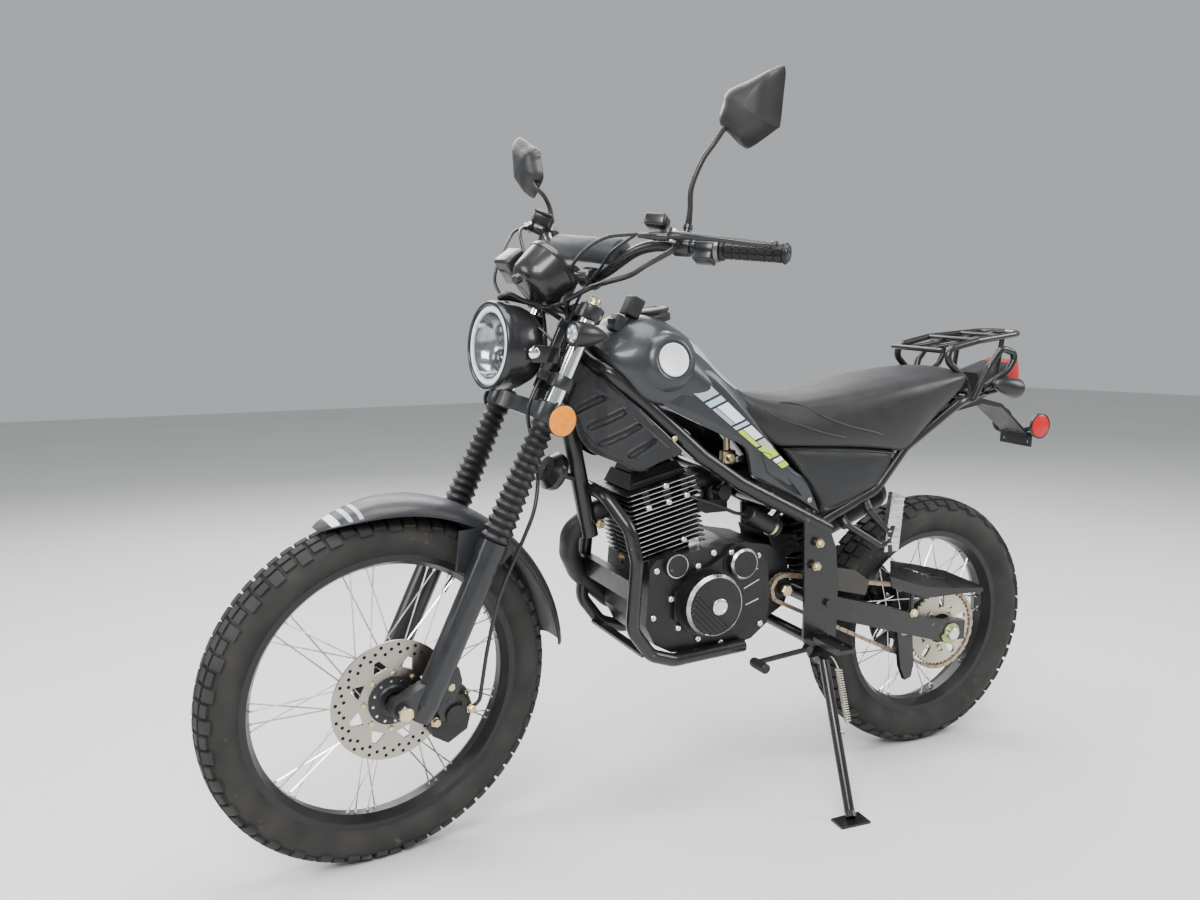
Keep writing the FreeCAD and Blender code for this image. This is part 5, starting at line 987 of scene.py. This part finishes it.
# Instruments: one round can with a chromed rim under its glass and a square box of warning lamps beside
# it, both moulded in black plastic and bolted to the upper clamp by a pressed steel arm.
CAN = np.array([118, 14, 852.0])
CAN_AXIS = unit((-0.50, 0, 0.866))
can_profile = [(0, -36), (28, -36), (42, -33), (50, -24), (54, -8), (59, 22), (60, 28), (62, 29), (62, 37), (60, 41),
               (56, 42), (54, 38), (0, 38)]
dial_profile = [(0, 38.2), (53.5, 38.2), (53.5, 39.4), (0, 39.8)]
rim_profile = [(50, 39), (53, 39), (53, 40.4), (50, 40.4)]
can, dial, dial_rim = (fork(spun(shape, CAN, CAN_AXIS, 64)) for shape in (can_profile, dial_profile, rim_profile))
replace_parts(piece("gauge_can", can, lamp_black, "steering"), "gauge")
piece("gauge_glass", dial, lens_dark, "steering")
piece("gauge_rim", dial_rim, hard_chrome, "steering")
gauge_axes = (np.cross((0, 1, 0), CAN_AXIS), (0, 1, 0), CAN_AXIS)
lamp_box = rounded_box((135, -68, 864), (30, 29, 24), gauge_axes, 7)
box_neck = rounded_box((128, -42, 862), (18, 12, 16), gauge_axes, 3)
knob = spun([(0, 0), (5, 0), (6, 2), (6, 9), (4, 11), (0, 11)], (150, -96, 868), (0, -1, 0), 16)
drive_end = CAN - CAN_AXIS * 26 + (42, 26, 0)
drive_nut = spun([(0, 0), (9, 0), (9, 10), (7, 13), (0, 14)], drive_end, (0.7, 0.3, -0.6), 20)
piece("gauge_boxes", placed(fork, lamp_box, box_neck, knob, drive_nut), lamp_black, "steering")
window = rounded_box((163, -70, 868), (2, 17, 9), gauge_axes, 1.5)
piece("gauge_window", fork(window), lens_dark, "steering")
gauge_arms = (swept(((104, 14, 838), (70, 14, 824), (24, 14, 823)), 6),
              swept(((126, -60, 846), (90, -64, 830), (48, -68, 823)), 6))
piece("gauge_arms", placed(fork, *gauge_arms), fork_black, "steering")

# Front signals and side reflectors: black bullets with a grey faceted lens, on short rubber stems, and a
# round orange reflector screwed to each lower clamp.
signal_black = finish("signal_black", (0.014, 0.014, 0.015), 0.36, mottle=0.12, grain=900, relief=0.05, gloss=0.1)
signal_lens = finish("signal_lens", (0.20, 0.22, 0.25), 0.12, mottle=0.75, blotch=70, grain=300, relief=0.3,
                     gloss=1.0)
orange_lens = finish("orange_lens", (0.80, 0.24, 0.0), 0.34, mottle=0.14, blotch=60, grain=500, relief=0.2, gloss=0.1)
SIGNAL = np.array([84, 150, 767.0])
REFLECTOR = (20, 127, 613)
bullet_profile = [(0, -4), (19, 1.5), (22.5, 1.5), (24, -1), (24.2, -8), (23.6, -22), (21, -38), (16.5, -52),
                  (10, -65), (4, -75), (0, -78)]
bullet = spun(bullet_profile, SIGNAL, LAMP_AXIS, 40)
stem = swept(((60, 146, 778), (52, 120, 780), (44, 98, 784)), 7, 14)
signals = piece("front_bullets", left_and_right(fork, bullet, stem), signal_black, "steering")
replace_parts(signals, "front_signals")
front_lens = spun([(0, 3), (12, 2.6), (18.8, 0.8), (18.8, -4.5), (0, -4.5)], SIGNAL, LAMP_AXIS, 32)
piece("front_signal_lenses", left_and_right(fork, front_lens), signal_lens, "steering")
chip_turn = np.linspace(0, 2 * math.pi, 7)[:-1, None]
chip_places = SIGNAL + 11 * (np.cos(chip_turn) * lamp_up + np.sin(chip_turn) * (0, 1, 0))
chips = studs([(0, 3.2), (3.2, 3.2), (3.8, 2), (0, 2)], chip_places, 12, LAMP_AXIS)
piece("front_signal_chips", left_and_right(fork, *chips), halo_white, "steering")
reflector = spun([(0, 3), (28, 3), (29.4, 5), (29.4, 8), (27, 9.4), (0, 10)], REFLECTOR, (0, 1, 0), 48)
backing_profile = [(0, -30), (7, -30), (7, 0), (24, 0), (31, 2), (31, 7), (29.6, 7.6), (29, 3), (0, 3)]
backing = spun(backing_profile, REFLECTOR, (0, 1, 0), 48)
piece("side_reflectors", left_and_right(fork, reflector), orange_lens, "steering")
piece("side_reflector_backs", left_and_right(fork, backing), signal_black, "steering")

# Handlebar: one steel tube bent up and back, sprayed black, with a straight brace welded across it that
# carries a round foam pad in a cloth sleeve.
BAR_TIP = np.array([-98, 405, 1030.0])
BAR_BEND = 45.0


def bent(corners, radius, steps=8):
    """A path of straight runs whose corners are rounded: each gives way to a curve that leaves one run
    and joins the next at a radius from the corner, by the quadratic rule (1-t)^2 a + 2t(1-t) b + t^2 c."""
    corners = np.asarray(corners, float)
    middle = corners[1:-1]
    start = middle + unit(corners[:-2] - middle) * radius
    end = middle + unit(corners[2:] - middle) * radius
    t = np.linspace(0, 1, steps)[None, :, None]
    curve = (1 - t) ** 2 * start[:, None] + 2 * t * (1 - t) * middle[:, None] + t ** 2 * end[:, None]
    return np.concatenate([corners[:1], curve.reshape(-1, 3), corners[-1:]])


half_bar = np.array([BAR_TIP, (36, 180, 972), (28, 62, 896)])
whole_bar = np.concatenate([half_bar, half_bar[::-1] * (1, -1, 1)])
tube = swept(bent(whole_bar, BAR_BEND), 11, 20, 1)
brace = spun([(0, 0), (6, 0), (6, 300), (0, 300)], (34, -150, 953), (0, 1, 0), 20)
bar = piece("handlebar_tube", placed(fork, tube, brace), frame_black, "steering")
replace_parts(bar, "handlebar")
pad_cloth = finish("pad_cloth", (0.022, 0.024, 0.028), 0.50, mottle=0.12, blotch=14, grain=420, relief=0.3, sheen=0.1)
pad_profile = [(6, 0), (18, 0), (23.5, 2), (26, 6), (26, 118), (25.8, 230), (23.5, 234), (18, 236), (6, 236)]
pad = spun(pad_profile, (34, -118, 953), (0, 1, 0), 40)
piece("handlebar_pad", fork(pad), pad_cloth, "steering")

# Grips: black rubber sleeves pushed onto the bar's ends, moulded in rings of flat blocks between an outer
# and an inner flange, and closed by a plastic cap.
bar_line = unit((-134, 225, 58))
bar_ahead = unit(np.cross(bar_line, (0, 0, 1)))
BAR_AXES = np.array([-bar_line, bar_ahead, np.cross(bar_ahead, bar_line)])
GRIP_RINGS = 7
GRIP_ROWS = 10


def on_grip(*grids):
    """Grids given as distance in from the bar's end, ahead of it and above it, set on both bar ends."""
    return left_and_right(fork, *[BAR_TIP + grid @ BAR_AXES for grid in grids])


along = (4 + 15 * np.arange(GRIP_RINGS)[:, None] + (0, 0.8, 12.6, 13.4)).ravel()
grip_angle = 2 * math.pi * (np.arange(GRIP_ROWS)[:, None] + (0, 0.1, 0.86, 0.96)).ravel() / GRIP_ROWS
raised_block = np.outer(np.tile((0, 1, 1, 0), GRIP_RINGS), np.tile((0, 1, 1, 0), GRIP_ROWS))
flanges = np.array([(-3, 12), (-4, 17), (-2, 19.5), (1, 19.5), (3, 15.8), (109, 15.8), (111, 20), (116, 21),
                    (118, 19), (118, 12)])
flange_radius = np.broadcast_to(flanges[:, 1, None], (len(flanges), len(grip_angle)))
grip_radius = np.concatenate([flange_radius[:5], 15.8 + 1.4 * raised_block, flange_radius[5:]])
grip_along = np.concatenate([flanges[:5, 0], along, flanges[5:, 0]])[:, None]
grip_skin = np.stack([np.broadcast_to(grip_along, grip_radius.shape), grip_radius * np.cos(grip_angle),
                      grip_radius * np.sin(grip_angle)], axis=-1)
grips = piece("grip_rubbers", on_grip(grip_skin), gaiter_rubber, "steering", crease=30)
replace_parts(grips, "grips")
end_cap = spun([(0, -3), (5, -3), (6, -7), (14, -7.5), (16, -5), (16, -2), (0, -2)], (0, 0, 0), (1, 0, 0), 32)
piece("grip_caps", on_grip(end_cap), fork_black, "steering")

# Hand controls: cast clamps with ball-ended levers, moulded switch pods, the front brake's fluid reservoir
# on the right and a small box on the left. Clamps and levers are black, screws and adjusters bare.
perch = spun([(10, 0), (17, 0), (18, 3), (18, 27), (17, 30), (10, 30)], (176, 0, 0), (1, 0, 0), 28)
pod = rounded_box((146, 1, -4), (19, 18, 24), corner=5)
pod_band = rounded_box((146, 1, 4), (20, 19, 2), corner=1.5)
collar = spun([(11, 0), (23, 0), (24.5, 3), (24.5, 7), (22, 9), (11, 9)], (119, 0, 0), (1, 0, 0), 36)
arm = rounded_box((196, 27, 2), (9, 20, 7), corner=3)
blade_path = ((203, 42, 2), (188, 50, 2), (160, 56, 1), (120, 55, 0), (80, 51, -1), (40, 46, -2), (14, 44, -2))
blade = swept(blade_path, (9, 8.5, 6.8, 5.8, 5.6, 5.6, 6.2), 16)
half_turn = np.radians(np.arange(0, 181, 15))
ball = spun(8.5 * np.stack([np.sin(half_turn), -np.cos(half_turn)], axis=-1), (10, 44, -2), (1, 0, 0), 20)
boot = swept(((206, 42, 2), (226, 45, 1), (244, 47, 0), (262, 49, -1)), (7.5, 8.5, 6.0, 4.5), 14)
root_profile = [(0, 0), (9, 0), (10, 3), (10, 16), (8, 18), (7.5, 30), (9, 31), (9, 38), (6, 40), (0, 40)]
root = spun(root_profile, (186, 8, 0), (0, 0, 1), 20)
controls = piece("hand_levers", on_grip(perch, pod, pod_band, arm, blade, ball, boot, root), fork_black, "steering")
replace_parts(controls, "hand_controls")
collar_grey = finish("collar_grey", (0.16, 0.16, 0.17), 0.35, metal=0.6)
piece("switch_collars", on_grip(collar), collar_grey, "steering")
pivot_bolt = spun([(0, -11), (6, -11), (7, -9), (7, 11), (5, 14), (0, 14)], (196, 44, 2), (0, 0, 1), 16)
clamp_screw = spun([(0, 0), (4.5, 0), (4.5, 4), (3, 5), (0, 5)], (191, -18, 8), (0, -1, 0), 12)
piece("lever_bolts", on_grip(pivot_bolt, clamp_screw), zinc, "steering")
button = rounded_box((140, -17, 6), (6, 3, 5), corner=1.5)
horn_button = rounded_box((152, -17, -14), (5, 3, 5), corner=1.5)
button_grey = finish("button_grey", (0.30, 0.31, 0.32), 0.45)
piece("switch_buttons", on_grip(button, horn_button), button_grey, "steering")
BOXES = (
    # side of the bike, middle and half sizes along the bar's end, ahead of it and above it, corner radius
    (-1, (196, 26, 28), (27, 20, 13), 5), (-1, (196, 26, 43), (28, 21, 3.4), 2.5),
    (1, (234, 40, 30), (20, 18, 12), 5), (1, (216, 30, 16), (10, 12, 8), 3))
boxes = [fork((BAR_TIP + rounded_box(middle, half, corner=corner) @ BAR_AXES) * (1, side, 1))
         for side, middle, half, corner in BOXES]
piece("brake_reservoir", boxes, lamp_black, "steering")

# Mirrors: leaf-shaped plastic shells on black steel stalks screwed into the clamps, with silvered glass.
# The heads stand upright and look back at the rider, the right one set lower than the left.
MIRROR_OUTLINE = ((56, 61), (70, 54), (67, 10), (62, -35), (54, -43), (-3, -72), (-24, -69), (-48, -52), (-75, -29),
                  (-65, 6), (-55, 28), (-1, 44))
MIRRORS = (
    # side of the bike, middle of the head, points that the stalk passes beyond its foot
    (1, (33, 322, 1247), ((12, 3, 26), (30, 6, 60), (34, 10, 110), (28, 16, 150))),
    (-1, (69, 322, 1126), ((12, 3, 20), (34, 5, 36), (56, 14, 46))),
)
stalk_foot = BAR_TIP + np.array([186, 8, 38]) @ BAR_AXES
looks = unit((-0.88, -0.15, 0.48))
head_wide = unit(np.cross(looks, (0.415, 0, 0.91)))
head_tall = np.cross(head_wide, looks)
mirror_black = finish("mirror_black", (0.014, 0.014, 0.015), 0.42, mottle=0.12, grain=1000, relief=0.05, gloss=0.08)
leaf = spline(MIRROR_OUTLINE, 6, closed=True)


def leaf_shell(middle, rows):
    """The leaf's outline drawn to each row's size and set off along the way that the glass looks."""
    size, off = np.asarray(rows, float).T[:, :, None, None]
    return middle + size * (leaf[:, :1] * head_wide + leaf[:, 1:] * head_tall) + off * looks


shells, glasses = [], []
for side, middle, passes in MIRRORS:
    middle, to_side = np.array(middle, float), np.array([1, side, 1])
    shell = leaf_shell(middle, ((0, -27), (0.40, -27), (0.66, -23), (0.84, -15), (0.95, -5), (1, 2), (0.985, 4),
                                (0.95, 2.5), (0, 2.5)))
    corner = middle - 50 * head_wide - 34 * head_tall - 12 * looks
    path = (stalk_foot, *(stalk_foot + np.array(passes)), corner, corner + 14 * head_wide + 12 * head_tall)
    stalk = swept(path, (6.5,) + (5,) * (len(path) - 1), 14)
    shells += [fork(shell * to_side), fork(stalk * to_side)]
    glasses.append(fork(leaf_shell(middle, ((0, 3.0), (0.94, 3.0), (0.94, 2.2), (0, 2.2))) * to_side))
mirror_heads = piece("mirror_shells", shells, mirror_black, "steering", crease=35)
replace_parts(mirror_heads, "mirrors")
silvered = finish("silvered", (0.86, 0.88, 0.90), 0.03, metal=1.0, mottle=0.02, grain=900, relief=0.0)
piece("mirror_glasses", glasses, silvered, "steering", crease=30)

# Cables, harness and hose: black sleeved cables arch from the levers, pass under the instruments and dive
# behind the lamp; a wrapped harness joins them, and the front brake's hose runs down the left leg.
cable_black = finish("cable_black", (0.012, 0.012, 0.013), 0.34, mottle=0.15, grain=600, relief=0.1, gloss=0.2)
CABLES = (
    # radius, path in the fork's frame
    (3.4, ((77, 209, 974), (104, 160, 952), (111, 118, 921), (96, 70, 880), (62, 40, 840), (32, 34, 790),
           (18, 27, 742))),
    (3.0, ((78, 204, 970), (74, 150, 938), (48, 90, 908), (40, 50, 864), (34, 38, 800), (24, 29, 738))),
    (3.4, ((77, -209, 974), (108, -160, 950), (112, -110, 912), (84, -70, 860), (46, -42, 800), (20, -27, 742))),
    (3.2, ((84, -204, 968), (128, -150, 930), (150, -100, 830), (120, -60, 790), (62, -38, 760), (27, -27, 720))),
    (5.2, ((30, 268, 968), (44, 228, 930), (43, 186, 906), (50, 130, 884), (52, 84, 866), (78, 40, 818),
           (128, 24, 799), (168, 18, 797), (178, 8, 784), (150, 0, 794), (84, 6, 806), (30, 14, 800))),
    (2.6, ((104, 60, 760), (78, 84, 744), (62, 84, 712), (54, 68, 690), (42, 54, 706), (36, 44, 760))),
    (2.6, ((60, 146, 778), (52, 120, 790), (40, 84, 786), (36, 50, 770))),
    (4.0, ((36, 44, 790), (46, 48, 710), (57, 60, 616), (22, 60, 560), (-10, 76, 505), (-20, 100, 440),
           (-20, 106, 370), (-24, 100, 260), (-48, 93, 160), (-74, 88, 80), (-84, 86, 48), (-74, 87, 32))),
)
cables = [swept(path, radius, 12, 8, (0.2, 0.9, 0.1)) for radius, path in CABLES]
piece("cables", placed(fork, *cables), cable_black, "steering", crease=60)

# Tail: a black lamp housing with a red lens under the rack, two black bullets on rubber stems with smoked
# lenses, and a round red reflector on either side of the mudguard's end.
lens_red = finish("lens_red", (0.45, 0.004, 0.010), 0.34, mottle=0.12, blotch=50, grain=500, relief=0.15, gloss=0.1)
paint(plastic_black, "rear_fender")
housing = lofted(((-110, ((0, 876), (38, 876), (44, 882), (40, 920), (30, 926), (0, 926))),
                  (-150, ((0, 879), (40, 879), (46, 886), (42, 930), (32, 936), (0, 936))),
                  (-204, ((0, 883), (42, 884), (47, 891), (44, 944), (35, 950), (0, 950)))), 4, 4)
lamp_foot = spun([(0, 0), (14, 0), (14, 34), (0, 34)], (-150, 0, 850), (0, 0, 1), 20)
BULLET_AT = (-148, 130, 896)
BULLET_AXIS = (1, 0, 0.2)
RED_REFLECTOR = (-309, 64, 790)
rear_profile = [(0, 2), (19, 2), (19.4, 0), (22, 0), (24, 6), (23.8, 20), (22, 36), (18.4, 52), (13, 66), (6, 77),
                (0, 80)]
rear_bullet = spun(rear_profile, BULLET_AT, BULLET_AXIS, 36)
rear_stem = swept(((-120, 130, 902), (-120, 84, 888), (-120, 30, 872)), 7, 14)
back_profile = [(0, -8), (30, -8), (32, -6), (32, 0), (30, 0.8), (29, -1), (0, -1)]
reflector_back = spun(back_profile, RED_REFLECTOR, (0, 1, 0), 40)
reflector_stem = swept(((-282, 16, 772), (-294, 38, 780), (-305, 58, 788)), 6, 14)
tail_sides = left_and_right(bike, rear_bullet, rear_stem, reflector_back, reflector_stem)
tail = piece("tail_housings", [bike(housing), bike(lamp_foot), *tail_sides], signal_black, "frame", crease=45)
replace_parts(tail, "rear_lamps")
lamp_lens = lofted(((-203, ((0, 884), (41, 885), (46.4, 892), (43.4, 943), (34, 949), (0, 949))),
                    (-232, ((0, 887), (44, 888), (48, 895), (44, 950), (35, 956), (0, 956))),
                    (-252, ((0, 900), (30, 901), (35, 907), (31, 940), (24, 946), (0, 946)))), 4, 4)
reflector_face = spun([(0, -1.2), (28.6, -1.2), (28.6, 0), (26, 1.6), (0, 2.2)], RED_REFLECTOR, (0, 1, 0), 40)
piece("tail_lens", [bike(lamp_lens)] + left_and_right(bike, reflector_face), lens_red, "frame")
rear_lens = spun([(0, 2.4), (18.6, 2.4), (18.6, 0.2), (12, -0.6), (0, -1)], BULLET_AT, BULLET_AXIS, 32)
piece("rear_signal_lenses", left_and_right(bike, rear_lens), signal_lens, "frame")

# Electrics and fuel line: two relays on a strip beside the steering head, the ignition coil clipped under
# the left frame tube with its lead to the plug, and the fuel tap under the tank with its hose.
raked = about("Y", -RAKE).T
relays = [rounded_box((838, 46, 1086), (14, 20, 20), raked, 3), rounded_box((872, 46, 1054), (12, 18, 17), raked, 3),
          rounded_box((856, 42, 1062), (5, 10, 32), about("Y", -RAKE - math.pi / 3).T, 2)]
COIL_FROM = (558, 70, 642)
COIL_WAY = (-76, 0, -41)
coil_profile = [(0, 0), (17, 0), (20, 3), (20, 76), (22, 77), (22, 83), (17, 86), (0, 86)]
coil_body = spun(coil_profile, COIL_FROM, COIL_WAY, 32)
coil_arm = swept(((470, 72, 651), (486, 72, 634), (500, 70, 616)), 6, 12)
plug_lead = swept(((556, 70, 641), (600, 84, 650), (650, 92, 672), (700, 90, 690), (724, 60, 700)), 4, 12)
piece("relays_and_coil", placed(bike, *relays, coil_body, coil_arm, plug_lead), plastic_black, "frame")
tap_body = rounded_box((614, 66, 770), (16, 10, 15), corner=4)
tap_lever = spun([(0, 0), (10, 0), (10, 7), (8, 9), (0, 9)], (614, 76, 770), (0, 1, 0), 20)
tap_pipe = spun([(0, 0), (7, 0), (7, 84), (0, 84)], (614, 62, 782), (0, -0.06, 1), 16)
coil_clip = spun([(20.2, 66), (22.6, 66), (22.6, 72), (20.2, 72)], COIL_FROM, COIL_WAY, 32)
piece("fuel_tap", placed(bike, tap_body, tap_lever, tap_pipe, coil_clip), zinc_gold, "frame")
fuel_hose = swept(((614, 66, 758), (616, 70, 736), (624, 62, 712), (620, 44, 700), (612, 30, 694)), 4.6, 12)
piece("fuel_hose", bike(fuel_hose), cable_black, "frame")
